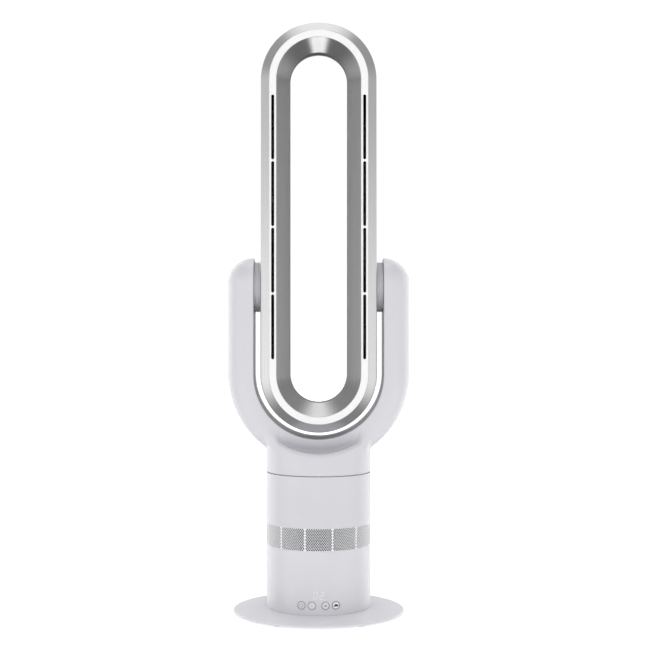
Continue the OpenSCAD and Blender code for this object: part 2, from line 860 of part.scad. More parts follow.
module diffuser() {
    h = diffuser_top_z - diffuser_z;
    ring_out_r = shroud_r - fit;
    color(black_plastic) translate([0, 0, diffuser_z]) {
        difference() {
            cylinder(r = hub_r, h = h);
            translate([0, 0, duct_wall]) cylinder(r = motor_r + fit, h = h);
            translate([0, 0, -cut]) cylinder(r = shaft_hole_r, h = h);
        }
        ring(ring_out_r, ring_out_r - duct_wall, h);
        intersection() {
            ring(ring_out_r - duct_wall / 2, hub_r - duct_wall / 2, h);
            for (i = [1:vane_count]) rotate([0, 0, i * 360 / vane_count])
                translate([hub_r - duct_wall, -vane_t / 2, h / 2]) rotate([vane_lean, 0, 0])
                    translate([0, 0, -h]) cube([shroud_r - hub_r + duct_wall, vane_t, 2 * h]);
        }
    }
}

module motor_can() {
    bore_h = motor_h * 2 / 3 + cut;
    color(steel) translate([0, 0, motor_z]) difference() {
        union() {
            cylinder(r = motor_r, h = motor_h - duct_wall);
            translate([0, 0, motor_h - duct_wall])
                cylinder(r1 = motor_r, r2 = motor_r - duct_wall, h = duct_wall);
        }
        translate([0, 0, -cut]) cylinder(r = shaft_r + running, h = bore_h + cut);
    }
}

module tail_cone() {
    color(black_plastic) translate([0, 0, diffuser_top_z]) difference() {
        cylinder(r1 = hub_r, r2 = hub_r * cone_tip_share, h = cone_h);
        translate([0, 0, -duct_wall])
            cylinder(r1 = hub_r - duct_wall / 2, r2 = hub_r * cone_tip_share - duct_wall / 2, h = cone_h);
    }
}

// Swing drive

flank_slope = tan(pressure_angle);
tooth_half = PI * gear_module / 4 - backlash / 2;
tooth_rise = tooth_rise_share * gear_module;
tooth_fall = tooth_fall_share * gear_module;

// Space between two teeth of the sector, with flanks that follow the involute's slope, reaching
// inwards past the teeth's tips
space_half = tooth_half + backlash;
space_in = tooth_rise + cut;
tooth_space = [
    [ring_pitch_r - space_in, -(space_half + flank_slope * space_in)],
    [ring_pitch_r + tooth_fall, -(space_half - flank_slope * tooth_fall)],
    [ring_pitch_r + tooth_fall, space_half - flank_slope * tooth_fall],
    [ring_pitch_r - space_in, space_half + flank_slope * space_in]
];

module drive_pinion() {
    color(nylon) translate([0, pinion_axis_y, gear_z + gear_air]) linear_extrude(gear_h - 2 * gear_air)
        difference() {
            union() {
                circle(r = pinion_pitch_r - tooth_fall);
                for (i = [1:pinion_teeth]) rotate(90 + i * 360 / pinion_teeth) polygon(pinion_tooth);
            }
            circle(r = output_r + thread_clear);
        }
}

// Angle between a line out from the axis and the involute of a circle, where the two meet at angle a
function involute(a) = tan(a) * 180 / PI - a;

// Half the angle that a pinion tooth fills at radius r
function tooth_half_angle(r) =
    let (start_r = pinion_pitch_r * cos(pressure_angle), a = acos(min(1, start_r / max(r, start_r))))
    tooth_half / pinion_pitch_r * 180 / PI + involute(pressure_angle) - involute(a);

// Outline of one pinion tooth along +X, from inside the root circle to the tip and back
flank_steps = 4;
tooth_foot_r = pinion_pitch_r - tooth_fall - gear_module / 2;
tooth_tip_r = pinion_pitch_r + tooth_rise;
flank_radii = [for (i = [0:flank_steps]) tooth_foot_r + i * (tooth_tip_r - tooth_foot_r) / flank_steps];
pinion_tooth = [
    for (r = flank_radii) r * [cos(tooth_half_angle(r)), -sin(tooth_half_angle(r))],
    for (i = [flank_steps:-1:0])
        flank_radii[i] * [cos(tooth_half_angle(flank_radii[i])), sin(tooth_half_angle(flank_radii[i]))]
];

module output_shaft() {
    color(steel) translate([0, pinion_axis_y, bearing_z - output_sunk])
        cylinder(r = output_r, h = turntable_z - gear_air - bearing_z + output_sunk);
}

// Toothed part of an internal ring gear, with a tooth space straight behind the pinion
module sector_gear() {
    pitch_angle = 360 / ring_teeth;
    steps = floor(sector_angle / pitch_angle / 2);
    span = (steps - 1 / 2) * pitch_angle;
    color(nylon) translate([0, 0, gear_z]) linear_extrude(gear_h) difference() {
        intersection() {
            difference() {
                circle(r = sector_out_r);
                circle(r = ring_pitch_r - tooth_rise);
            }
            polygon([
                [0, 0],
                for (side = [-1:1]) 2 * sector_out_r * [cos(90 + side * span), sin(90 + side * span)]
            ]);
        }
        for (i = [-steps:steps]) rotate(90 + i * pitch_angle)
            polygon(tooth_space);
    }
}

module bearing_plate() {
    color(black_plastic) translate([0, 0, bearing_z]) difference() {
        ring(column_in_r - fit, swing_journal_r + running, bearing_plate_t);
        translate([0, pinion_axis_y, -cut]) cylinder(r = output_r + cut, h = bearing_plate_t + 2 * cut);
        at_angles(bearing_screw_angles, bearing_screw_r) {
            translate([0, 0, -cut]) cylinder(r = screw_d / 2 + fit, h = bearing_plate_t + 2 * cut);
            translate([0, 0, bearing_plate_t - screw_head_h])
                cylinder(r = screw_head_d / 2 + fit, h = screw_head_h + cut);
        }
        for (side = [-1, 1]) translate([side * gear_motor_ear_x, gear_motor_y, -cut])
            cylinder(r = screw_d / 2 + thread_clear, h = gear_motor_screw_l - gear_motor_ear_t + 2 * cut);
    }
}

module bearing_screws() {
    color(steel) at_angles(bearing_screw_angles, bearing_screw_r)
        translate([0, 0, bearing_top_z - screw_head_h]) rotate([180, 0, 0])
            screw(screw_d / 2, bearing_screw_l, screw_head_d / 2, screw_head_h - fit);
}

module slide_ring() {
    color(nylon) translate([0, 0, bearing_top_z])
        ring(column_in_r - fit, slide_in_r, turntable_z - slide_lift - bearing_top_z);
}

module gear_motor() {
    color(steel) difference() {
        union() {
            translate([0, gear_motor_y, bearing_z - gear_motor_h])
                cylinder(r = gear_motor_r, h = gear_motor_h);
            for (side = [-1, 1])
                translate([side * gear_motor_ear_x / 2, gear_motor_y, bearing_z - gear_motor_ear_t])
                    slab(gear_motor_ear_x + gear_motor_ear_w / 2, gear_motor_ear_w, gear_motor_ear_t);
        }
        translate([0, pinion_axis_y, bearing_z - output_sunk - fit])
            cylinder(r = output_r + running, h = output_sunk + fit + cut);
        for (side = [-1, 1]) translate([side * gear_motor_ear_x, gear_motor_y, bearing_z - gear_motor_h])
            cylinder(r = screw_d / 2 + fit, h = gear_motor_h + cut);
    }
}

module gear_motor_screws() {
    color(steel) for (side = [-1, 1])
        translate([side * gear_motor_ear_x, gear_motor_y, bearing_z - gear_motor_ear_t])
            screw(screw_d / 2, gear_motor_screw_l, screw_head_d / 2, screw_head_h);
}

module upper_housing() {
    color(shell_grey) difference() {
        union() {
            translate([0, 0, upper_z]) ring(column_r, column_in_r, upper_h);
            translate([0, 0, bearing_z - ledge_h])
                ring(column_in_r + fit, column_in_r - ledge_w, ledge_h);
            intersection() {
                translate([0, 0, bearing_z - lug_h]) cylinder(r = column_r - column_wall / 2, h = lug_h);
                at_angles(bearing_screw_angles, bearing_screw_r) union() {
                    translate([0, 0, bearing_z - lug_h]) cylinder(r = lug_r, h = lug_h);
                    translate([0, -column_wall / 2, bearing_z - lug_h])
                        cube([column_r, column_wall, lug_h]);
                }
            }
        }
        at_angles(bearing_screw_angles, bearing_screw_r)
            translate([0, 0, bearing_z - lug_h - cut])
                cylinder(r = screw_d / 2 + thread_clear, h = lug_h + 2 * cut);
        translate([0, gear_motor_y, bearing_z - ledge_h - cut])
            cylinder(r = gear_motor_r + moving, h = ledge_h + 2 * cut);
    }
}

module turntable() {
    color(black_plastic) difference() {
        union() {
            translate([0, 0, turntable_z]) cylinder(r = turntable_r, h = turntable_t);
            translate([0, 0, journal_end_z])
                cylinder(r = swing_journal_r, h = turntable_z - journal_end_z);
        }
        translate([0, 0, journal_end_z - cut]) cylinder(r = duct_r, h = seam_z - journal_end_z + 2 * cut);
        translate([0, 0, clip_z - thread_clear])
            ring(swing_journal_r + cut, swing_journal_r - clip_bite - fit, clip_t + 2 * thread_clear);
        at_angles(turntable_screw_angles, turntable_screw_r)
            translate([0, 0, turntable_z - cut]) cylinder(r = screw_d / 2 + fit, h = turntable_t + 2 * cut);
    }
}

// Open ring that snaps into the journal's groove under the bearing plate
module journal_clip() {
    color(steel) translate([0, 0, clip_z]) difference() {
        ring(clip_r, swing_journal_r - clip_bite, clip_t);
        translate([0, -swing_journal_r, -cut]) slab(clip_gap, swing_journal_r, clip_t + 2 * cut);
    }
}

module turntable_screws() {
    color(steel) at_angles(turntable_screw_angles, turntable_screw_r)
        translate([0, 0, turntable_z]) screw(screw_d / 2, turntable_screw_l, screw_head_d / 2, screw_head_h);
}

// Yoke

// Half-round section of an arm, with its flat side set in by inset and its radius less by inset
module arm_section(inset) {
    intersection() {
        translate([yoke_in_r, 0]) circle(r = arm_r - inset);
        translate([yoke_in_r + inset, -arm_r]) square([arm_r, 2 * arm_r]);
    }
}

// The fork, neck and arm ends as one solid, everywhere set in by inset
module yoke_solid(inset) {
    translate([0, 0, arc_z]) rotate([90, 0, 0]) rotate([0, 0, 180])
        rotate_extrude(angle = 180) arm_section(inset);
    for (side = [0, 1]) mirror([side, 0, 0]) {
        translate([0, 0, arc_z]) linear_extrude(dome_z - arc_z) arm_section(inset);
        intersection() {
            translate([yoke_in_r, 0, dome_z]) sphere(r = arm_r - inset);
            translate([yoke_in_r + inset, -arm_r, dome_z]) cube([arm_r, 2 * arm_r, arm_r]);
        }
    }
    foot = inset > 0 ? cut : 0;
    difference() {
        translate([0, 0, yoke_z - foot]) cylinder(r = column_r - inset, h = arc_z - yoke_z + foot);
        translate([0, 0, arc_z]) rotate([90, 0, 0])
            cylinder(r = scoop_r + inset, h = 3 * column_r, center = true);
    }
}

// Everything that stays solid inside the yoke's hollow
module yoke_bosses() {
    for (p = yoke_screw_places) translate([p[0], 0, p[1]]) rotate([90, 0, 0])
        cylinder(r = yoke_boss_r, h = 3 * column_r, center = true);
    for (side = [0, 1]) mirror([side, 0, 0])
        translate([yoke_in_r, 0, pivot_z]) rotate([0, 90, 0])
            cylinder(r = arm_r + dome_rise, h = seat_l);
    at_angles(turntable_screw_angles, turntable_screw_r) {
        translate([0, 0, seam_z]) cylinder(r = yoke_boss_r, h = neck_boss_h);
        translate([0, -yoke_wall / 2, seam_z]) cube([column_r, yoke_wall, neck_boss_h]);
    }
}

module yoke_half(side) {
    difference() {
        intersection() {
            yoke_solid(0);
            translate([-2 * loop_w, side > 0 ? yoke_split / 2 : -4 * column_r - yoke_split / 2, 0])
                cube([4 * loop_w, 4 * column_r, loop_h]);
        }
        difference() {
            yoke_solid(yoke_wall);
            yoke_bosses();
        }
        for (end = [0, 1]) mirror([end, 0, 0]) translate([yoke_in_r - cut, 0, pivot_z])
            rotate([0, 90, 0]) cylinder(r = seat_r, h = seat_l + 2 * cut);
        at_angles(turntable_screw_angles, turntable_screw_r)
            translate([0, 0, seam_z]) cylinder(r = screw_d / 2 + thread_clear, h = neck_boss_h + cut);
        for (p = yoke_screw_places) translate([p[0], 0, p[1]]) rotate([-90, 0, 0]) {
            translate([0, 0, -yoke_screw_l])
                cylinder(r = screw_d / 2 + thread_clear, h = yoke_screw_l + yoke_seat_y);
            translate([0, 0, yoke_seat_y]) cylinder(r = screw_head_d / 2 + fit, h = 2 * column_r);
        }
    }
}

module yoke_front_shell() {
    color(shell_grey) yoke_half(-1);
}

module yoke_rear_shell() {
    color(shell_grey) yoke_half(1);
}

module yoke_screws() {
    color(steel) for (p = yoke_screw_places) translate([p[0], yoke_seat_y, p[1]])
        rotate([90, 0, 0]) screw(screw_d / 2, yoke_screw_l, screw_head_d / 2, screw_head_h);
}

// Pivots, drawn for the +X side and mirrored for the other

// Ring round the pivot axis, from x = start over length l
module pivot_ring(start, l, outer_r, inner_r) {
    translate([start, 0, pivot_z]) rotate([0, 90, 0]) ring(outer_r, inner_r, l);
}

module pivot_bushes() {
    color(nylon) for (side = [0, 1]) mirror([side, 0, 0]) {
        pivot_ring(yoke_in_r, seat_l, bush_r, journal_r + running);
        pivot_ring(yoke_in_r + seat_l, bush_flange_t, bush_r + bush_flange_w, journal_r + running);
    }
}

module trunnion() {
    collar_x = loop_r + fit;
    collar_l = yoke_gap - fit - moving;
    groove_x = clip_stack_x - thread_clear;
    color(collar_grey) difference() {
        union() {
            translate([collar_x, 0, pivot_z]) rotate([0, 90, 0]) cylinder(r = collar_r, h = collar_l);
            translate([loop_r - spigot_l, 0, pivot_z]) rotate([0, 90, 0])
                cylinder(r = spigot_r, h = spigot_l + collar_l);
            translate([collar_x + collar_l / 2, 0, pivot_z]) rotate([0, 90, 0])
                cylinder(r = journal_r, h = clip_stack_x + clip_t + journal_tip - collar_x - collar_l / 2);
        }
        translate([loop_r - spigot_l - cut, 0, pivot_z]) rotate([0, 90, 0])
            cylinder(r = air_bore_r, h = 2 * arm_r);
        for (share = collar_groove_shares)
            pivot_ring(collar_x + collar_l * share - collar_groove_w / 2, collar_groove_w,
                collar_r + cut, collar_r - collar_groove_depth);
        pivot_ring(groove_x, clip_t + 2 * thread_clear, journal_r + cut, journal_r - groove_depth);
    }
}

module right_trunnion() trunnion();
module left_trunnion() mirror([1, 0, 0]) trunnion();

module trunnion_washers() {
    color(steel) for (side = [0, 1]) mirror([side, 0, 0])
        pivot_ring(clip_stack_x - fit - washer_t, washer_t, journal_r + washer_w, journal_r + fit);
}

module trunnion_clips() {
    color(steel) for (side = [0, 1]) mirror([side, 0, 0]) difference() {
        pivot_ring(clip_stack_x, clip_t, journal_r + washer_w, journal_r - groove_depth + thread_clear);
        translate([clip_stack_x - cut, -clip_gap / 2, pivot_z])
            cube([clip_t + 2 * cut, clip_gap, 2 * journal_r]);
    }
}

// Loop

// Sweeps a section round the loop: x is the distance from the middle line, y points to the front
module loop_sweep() {
    translate([0, 0, top_arc_z]) rotate([90, 0, 0]) rotate_extrude(angle = 180) children();
    translate([0, 0, arc_z]) rotate([90, 0, 0]) rotate([0, 0, 180])
        rotate_extrude(angle = 180) children();
    for (side = [0, 1]) mirror([side, 0, 0])
        translate([0, 0, arc_z]) linear_extrude(straight_l) mirror([0, 1]) children();
}

// Cuts what is swept round the loop into two sides and two round ends, a fine joint apart
module in_four_lengths() {
    difference() {
        children();
        for (z = [arc_z, top_arc_z]) translate([0, 0, z - loop_joint / 2])
            slab(2 * loop_w, 2 * loop_depth, loop_joint);
    }
}

// Places along the loop for the eight screws: x and z
loop_screw_places = [
    for (side = [-1, 1], share = loop_screw_rise_shares)
        [side * boss_ring_r, arc_z + share * straight_l],
    [0, top_arc_z + boss_ring_r],
    [0, arc_z - boss_ring_r]
];

// Section of the loop's outside, set in by inset, open to the front. Its inner wall runs straight
// and then opens in a long curve towards the back
module loop_hull_section(inset) {
    round_y = loop_back + back_round;
    intersection() {
        union() {
            translate([opening_r + inset, inner_sweep_y]) square([loop_r, loop_depth]);
            translate([opening_r + inner_sweep_r, inner_sweep_y]) circle(r = inner_sweep_r - inset);
        }
        union() {
            translate([0, round_y]) square([loop_r - inset, loop_depth]);
            translate([0, loop_back + inset]) square([loop_r - back_round, loop_depth]);
            translate([loop_r - back_round, round_y]) circle(r = back_round - inset);
        }
    }
}

module loop_rear_shell() {
    color(pale_silver) in_four_lengths() difference() {
        union() {
            loop_sweep() difference() {
                loop_hull_section(0);
                loop_hull_section(loop_wall);
                translate([opening_r - cut, bezel_foot_y]) square([loop_w, loop_depth]);
                translate([opening_r - cut, inner_foot_y])
                    square([loop_wall + 2 * cut, loop_depth]);
            }
            intersection() {
                loop_sweep() loop_hull_section(loop_wall / 2);
                for (p = loop_screw_places) translate([p[0], -loop_back, p[1]])
                    rotate([90, 0, 0]) cylinder(r = boss_r, h = boss_split_y - loop_back);
            }
        }
        for (p = loop_screw_places) translate([p[0], 0, p[1]]) rotate([90, 0, 0]) {
            translate([0, 0, boss_seat_y - cut]) cylinder(r = screw_d / 2 + fit, h = loop_depth);
            translate([0, 0, loop_back - cut])
                cylinder(r = screw_head_d / 2 + fit, h = boss_seat_y - loop_back + cut);
        }
        for (side = [0, 1]) mirror([side, 0, 0]) translate([loop_r - spigot_l, 0, pivot_z])
            rotate([0, 90, 0]) cylinder(r = spigot_r + fit, h = 2 * spigot_l);
    }
}

module outer_bezel() {
    color(silver) loop_sweep() polygon([
        [loop_r, bezel_foot_y],
        [loop_r, outer_edge_y - edge_break],
        [loop_r - edge_break / 2, outer_edge_y],
        [band_out_r, loop_front],
        [band_out_r, loop_front - bezel_t],
        [loop_r - bezel_t, outer_edge_y - bezel_t],
        [loop_r - bezel_t, bezel_foot_y]
    ]);
}

module outlet_frame() {
    color(pale_silver) difference() {
        loop_sweep() union() {
            translate([band_in_r, loop_front - band_sunk - bezel_t])
                square([band_out_r - band_in_r, bezel_t]);
            for (x = [band_in_r, band_out_r - nozzle_wall])
                translate([x, loop_front - band_sunk - frame_leg_l]) square([nozzle_wall, frame_leg_l]);
        }
        for (side = [-1, 1], i = [0:slot_count - 1])
            translate([side * band_mid_r, 0, slots_z + i * slot_pitch]) outlet_slot();
    }
}

// One slot with round ends, cut through the front of the outlet frame
module outlet_slot() {
    rotate([90, 0, 0]) {
        for (z = [slot_w / 2, slot_l - slot_w / 2])
            translate([0, z, 0]) cylinder(r = slot_w / 2, h = loop_depth);
        translate([-slot_w / 2, slot_w / 2, 0]) cube([slot_w, slot_l - slot_w, loop_depth]);
    }
}

module inner_bezel() {
    slope = inner_bevel_depth / inner_bevel_w;
    drop = bezel_t * sqrt(1 + pow(slope, 2));
    boss_l = loop_front - drop / 2 - boss_split_y - (band_in_r - boss_ring_r + boss_r) * slope;
    color(dark_silver) in_four_lengths() difference() {
        union() {
            loop_sweep() polygon([
                [band_in_r, loop_front], [opening_r, inner_edge_y], [opening_r, inner_foot_y],
                [opening_r + loop_wall, inner_foot_y],
                [opening_r + loop_wall, inner_edge_y + slope * loop_wall - drop],
                [band_in_r, loop_front - drop]
            ]);
            for (p = loop_screw_places) translate([p[0], -boss_split_y, p[1]]) rotate([90, 0, 0])
                    cylinder(r = boss_r, h = boss_l);
        }
        for (p = loop_screw_places) translate([p[0], -boss_split_y + cut, p[1]]) rotate([90, 0, 0])
            cylinder(r = screw_d / 2 + thread_clear, h = loop_screw_l - boss_step + 2 * cut);
    }
}

// Channel behind one side's slots, with a rib at each slot end and a sunk one in the middle
module nozzle() {
    front = -nozzle_front_y;
    color(black_plastic) translate([band_mid_r, front, slots_z]) {
        for (side = [-1, 1]) translate([side * (slot_w + nozzle_wall) / 2, nozzle_depth / 2, -nozzle_wall])
            slab(nozzle_wall, nozzle_depth, slots_l + 2 * nozzle_wall);
        translate([0, nozzle_depth / 2, -nozzle_wall]) slab(2 * nozzle_half_w, nozzle_depth, nozzle_wall);
        translate([0, nozzle_depth / 2, slots_l]) slab(2 * nozzle_half_w, nozzle_depth, nozzle_wall);
        for (i = [1:1:slot_count - 1]) translate([0, nozzle_depth / 2, i * slot_pitch - slot_gap])
            slab(2 * nozzle_half_w, nozzle_depth, slot_gap);
        for (i = [0:slot_count - 1])
            translate([0, (nozzle_depth + mid_rib_sunk) / 2, i * slot_pitch + (slot_l - mid_rib_t) / 2])
                slab(2 * nozzle_half_w, nozzle_depth - mid_rib_sunk, mid_rib_t);
    }
}

module right_nozzle() nozzle();
module left_nozzle() mirror([1, 0, 0]) nozzle();

module loop_screws() {
    color(steel) for (p = loop_screw_places) translate([p[0], -boss_seat_y, p[1]])
        rotate([90, 0, 0]) screw(screw_d / 2, loop_screw_l, screw_head_d / 2, screw_head_h);
}

base_cover();
ballast_disc();
rubber_feet();
base_screws();
column_floor();
counterweight();
lower_housing();
display_digits();
display_module();
control_board();
key_switches();
key_guide();
mains_inlet();
inlet_pins();
power_board();
power_components();
intake_grille();
filter_ring();
motor_deck();
rubber_mounts();
bellmouth();
fan_shroud();
diffuser();
motor_can();
tail_cone();
duct_seal();
bearing_plate();
bearing_screws();
slide_ring();
gear_motor();
gear_motor_screws();
upper_housing();
impeller();
motor_shaft();
drive_pinion();
output_shaft();
power_key();
timer_key();
mode_key();
speed_key();
turntable();
sector_gear();
journal_clip();
turntable_screws();
yoke_front_shell();
yoke_rear_shell();
yoke_screws();
pivot_bushes();
loop_rear_shell();
outer_bezel();
outlet_frame();
inner_bezel();
left_nozzle();
right_nozzle();
loop_screws();
left_trunnion();
right_trunnion();
trunnion_washers();
trunnion_clips();
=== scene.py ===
import math

import bmesh
import bpy
import numpy as np
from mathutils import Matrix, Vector


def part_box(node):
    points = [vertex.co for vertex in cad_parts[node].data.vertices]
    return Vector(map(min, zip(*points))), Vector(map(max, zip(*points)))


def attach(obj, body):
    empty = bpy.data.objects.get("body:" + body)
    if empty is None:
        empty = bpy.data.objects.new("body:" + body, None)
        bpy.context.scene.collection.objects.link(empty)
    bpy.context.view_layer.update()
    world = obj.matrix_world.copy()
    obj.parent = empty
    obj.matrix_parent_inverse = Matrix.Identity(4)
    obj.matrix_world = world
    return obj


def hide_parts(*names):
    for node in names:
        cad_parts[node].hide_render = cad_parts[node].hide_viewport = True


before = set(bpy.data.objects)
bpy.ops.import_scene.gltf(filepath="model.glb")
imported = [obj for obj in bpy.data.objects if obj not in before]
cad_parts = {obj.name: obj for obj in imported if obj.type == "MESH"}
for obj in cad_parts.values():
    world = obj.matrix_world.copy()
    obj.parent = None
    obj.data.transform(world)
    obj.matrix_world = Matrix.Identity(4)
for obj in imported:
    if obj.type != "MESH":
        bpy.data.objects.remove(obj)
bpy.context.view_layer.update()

scene = bpy.context.scene

# Camera
# A long lens at the fan's middle height, level, a little over two metres in front of it, with
# the picture shifted down and to the right to hold the whole fan.
camera_lens = 82.35
camera_sensor = 36.0
camera_place = (0.0, -2.065, 0.425)
camera_shift = (0.0059, -0.0233)

camera = bpy.data.objects.new("camera", bpy.data.cameras.new("camera"))
scene.collection.objects.link(camera)
camera.location = camera_place
camera.rotation_euler = (math.radians(90), 0, 0)
camera.data.lens = camera_lens
camera.data.sensor_width = camera_sensor
camera.data.shift_x, camera.data.shift_y = camera_shift
camera.data.dof.use_dof = False
scene.camera = camera


# Studio
# A white floor and soft light from all round: bright in front, overhead, below and at the rear
# corners, and greyer at the sides and straight behind, which the brushed metal needs to show its
# shape. The camera sees plain white behind the fan.
floor_reach = 6.0
floor_colour = (0.9, 0.9, 0.9, 1)
floor_glow = 0.40
room_grey = 0.36
backdrop_white = 1.06


def shader_nodes(owner):
    """Empties the node tree of a material or world and returns a function that adds a node to it.

    Its inputs are given by name or number: another node's output is linked, a value is set."""
    owner.use_nodes = True
    tree = owner.node_tree
    tree.nodes.clear()

    def add(kind, inputs=None, **settings):
        node = tree.nodes.new("ShaderNode" + kind)
        for key, value in settings.items():
            setattr(node, key, value)
        for socket, value in (inputs or {}).items():
            if isinstance(value, bpy.types.NodeSocket):
                tree.links.new(value, node.inputs[socket])
            else:
                node.inputs[socket].default_value = value
        return node

    return add


def new_piece(name, points, faces, material):
    """Makes an object from points and faces, with one material, shaded smooth."""
    mesh = bpy.data.meshes.new(name)
    mesh.from_pydata([tuple(p) for p in points], [], faces)
    mesh.polygons.foreach_set("use_smooth", np.ones(len(mesh.polygons), bool))
    mesh.materials.append(material)
    piece = bpy.data.objects.new(name, mesh)
    scene.collection.objects.link(piece)
    return piece


floor_material = bpy.data.materials.new("studio_floor")
add = shader_nodes(floor_material)
paint = add("BsdfPrincipled", {
    "Base Color": floor_colour, "Roughness": 0.9, "Specular IOR Level": 0.0,
    "Emission Color": (1, 1, 1, 1), "Emission Strength": floor_glow})
add("OutputMaterial", {"Surface": paint.outputs[0]})

floor_corners = [(x * floor_reach, y * floor_reach, 0) for x, y in ((-1, -1), (1, -1), (1, 1), (-1, 1))]
floor = new_piece("studio_floor", floor_corners, [(0, 1, 2, 3)], floor_material)
floor.visible_glossy = False

world = bpy.data.worlds.new("studio")
scene.world = world
add = shader_nodes(world)
place = add("TexCoord").outputs["Generated"]
split = add("SeparateXYZ", {0: place})
depth, height = split.outputs["Y"], split.outputs["Z"]


def ramp(source, start, end):
    """Rises softly from 0 where source is start to 1 where it is end."""
    return add("MapRange", {"Value": source, "From Min": start, "From Max": end},
               interpolation_type="SMOOTHSTEP").outputs["Result"]


def calc(operation, first, second):
    """One sum of the studio light; either side may be a number."""
    return add("Math", {0: first, 1: second}, operation=operation).outputs[0]


def towards(direction, start_angle, end_angle):
    """Soft round light from one direction: 1 inside end_angle degrees, 0 outside start_angle."""
    facing = add("VectorMath", {0: place, 1: Vector(direction).normalized()}, operation="DOT_PRODUCT")
    return ramp(facing.outputs["Value"], math.cos(math.radians(start_angle)),
                math.cos(math.radians(end_angle)))


# Each light is a share of the sky and its power; the negative ones darken.
across = calc("ABSOLUTE", split.outputs["X"], 0)
lights = [
    (towards((0, -0.94, 0.34), 38, 14), 0.74),
    (towards((0, 0.6, 0.8), 50, 25), 0.38),
    (towards((0, 1, 0), 26, 12), -0.24),
    (ramp(height, -0.2, -0.6), -0.10),
    (calc("MULTIPLY", ramp(across, 0.56, 0.38), ramp(height, 0.3, 0.75)), 0.45),
    (calc("MULTIPLY", calc("MULTIPLY", ramp(across, 0.58, 0.24), ramp(height, 0.90, 0.96)),
          ramp(depth, -0.22, -0.10)), 1.6),
    (calc("MULTIPLY", ramp(across, 0.60, 0.24), ramp(height, -0.94, -0.98)), 5.0),
]
for side, side_power, low_power in ((-1, 0.27, 0.46), (1, 0.12, 0.50)):
    lights += [
        (towards((side * 0.68, 0.73, 0.1), 44, 14), 1.15),
        (calc("MULTIPLY", towards((side * 0.85, -0.53, 0.1), 34, 10), ramp(height, 0.42, 0.15)),
         side_power),
        (calc("MULTIPLY", towards((side * 0.85, -0.53, 0), 40, 12), ramp(height, 0.16, -0.02)),
         low_power),
    ]
total = room_grey
for light, power in lights:
    total = calc("ADD", calc("MULTIPLY", light, power), total)
soft = add("Background", {"Color": (1, 1, 1, 1), "Strength": total})
white = add("Background", {"Color": (1, 1, 1, 1), "Strength": backdrop_white})
seen = add("LightPath").outputs["Is Camera Ray"]
mix = add("MixShader", {0: seen, 1: soft.outputs[0], 2: white.outputs[0]})
add("OutputWorld", {"Surface": mix.outputs[0]})
scene.view_settings.view_transform = "Standard"


# Base plate
# The flat round foot of the fan: one moulding in glossy light grey plastic, domed a few
# millimetres towards the column, with a recess underneath for the ballast disc.
rim_height, rim_round = 0.003, 0.0013
sole_inset, sole_round = 0.0008, 0.0006
shoulder_inset, shoulder_round = 0.0011, 0.0012
crown_margin, crown_round = 0.0015, 0.004
axis_r = 0.001
hairline, sharp_edge, moulded_edge = 0.0001, 0.0002, 0.0003
ballast_gap, fit_gap = 0.0002, 0.00015
round_steps = 256


def rounded_outline(corners, step=math.radians(10)):
    """Turns corners, each (across, along, radius), anticlockwise, into points and their normals."""
    points, normals = [], []
    for i, (x, y, radius) in enumerate(corners):
        here = Vector((x, y))
        came = (here - Vector(corners[i - 1][:2])).normalized()
        goes = (Vector(corners[(i + 1) % len(corners)][:2]) - here).normalized()
        first = Vector((came.y, -came.x))
        turn = math.atan2(came.cross(goes), came.dot(goes))
        side = 1 if turn > 0 else -1
        middle = (first + Vector((goes.y, -goes.x))).normalized()
        centre = here - middle * side * radius / math.cos(turn / 2)
        parts = max(2, math.ceil(abs(turn) / step))
        for k in range(parts + 1):
            a = turn * k / parts
            normal = Vector((first.x * math.cos(a) - first.y * math.sin(a),
                             first.x * math.sin(a) + first.y * math.cos(a)))
            points.append(centre + normal * side * radius)
            normals.append(normal)
    return np.array(points), np.array(normals)


def swept(name, stations, outline, material, distances=None):
    """Carries a closed outline round closed stations, each (origin, across, along) in the row frame.

    Adds exact normals, and UVs in metres: across the section, then along the sweep."""
    points, normals = outline
    origin, across, along = (np.array(column, float) for column in zip(*stations))
    place_of = lambda flat: (across[:, None, :] * flat[None, :, 0, None]
                             + along[:, None, :] * flat[None, :, 1, None])
    solid = origin[:, None, :] + place_of(points)
    rings, sides = solid.shape[:2]
    i, j = np.meshgrid(np.arange(rings), np.arange(sides), indexing="ij")
    i, j = i.ravel(), j.ravel()
    i_next, j_next = (i + 1) % rings, (j + 1) % sides
    faces = np.stack([i * sides + j, i_next * sides + j, i_next * sides + j_next, i * sides + j_next], 1)
    piece = new_piece(name, solid.reshape(-1, 3), faces.tolist(), material)
    steps = np.linalg.norm(np.diff(points, axis=0, append=points[:1]), axis=1)
    reach = np.concatenate([[0], np.cumsum(steps)])
    if distances is None:
        distances = np.arange(rings + 1) * 2 * math.pi * points[:, 0].max() / rings
    uv = np.stack([
        np.stack([reach[j], distances[i]], 1), np.stack([reach[j], distances[i + 1]], 1),
        np.stack([reach[j + 1], distances[i + 1]], 1), np.stack([reach[j + 1], distances[i]], 1)
    ], 1)
    piece.data.uv_layers.new(name="grain").data.foreach_set("uv", uv.astype(np.float32).ravel())
    piece.data.normals_split_custom_set_from_vertices(place_of(normals).reshape(-1, 3).tolist())
    return piece


def turned(name, corners, material, steps=round_steps):
    """Turns an outline of (radius, height, rounding) corners round the column's axis."""
    angles = np.arange(steps) * 2 * math.pi / steps
    stations = [((0, 0, 0), (math.cos(a), math.sin(a), 0), (0, 0, 1)) for a in angles]
    return swept(name, stations, rounded_outline(corners), material)


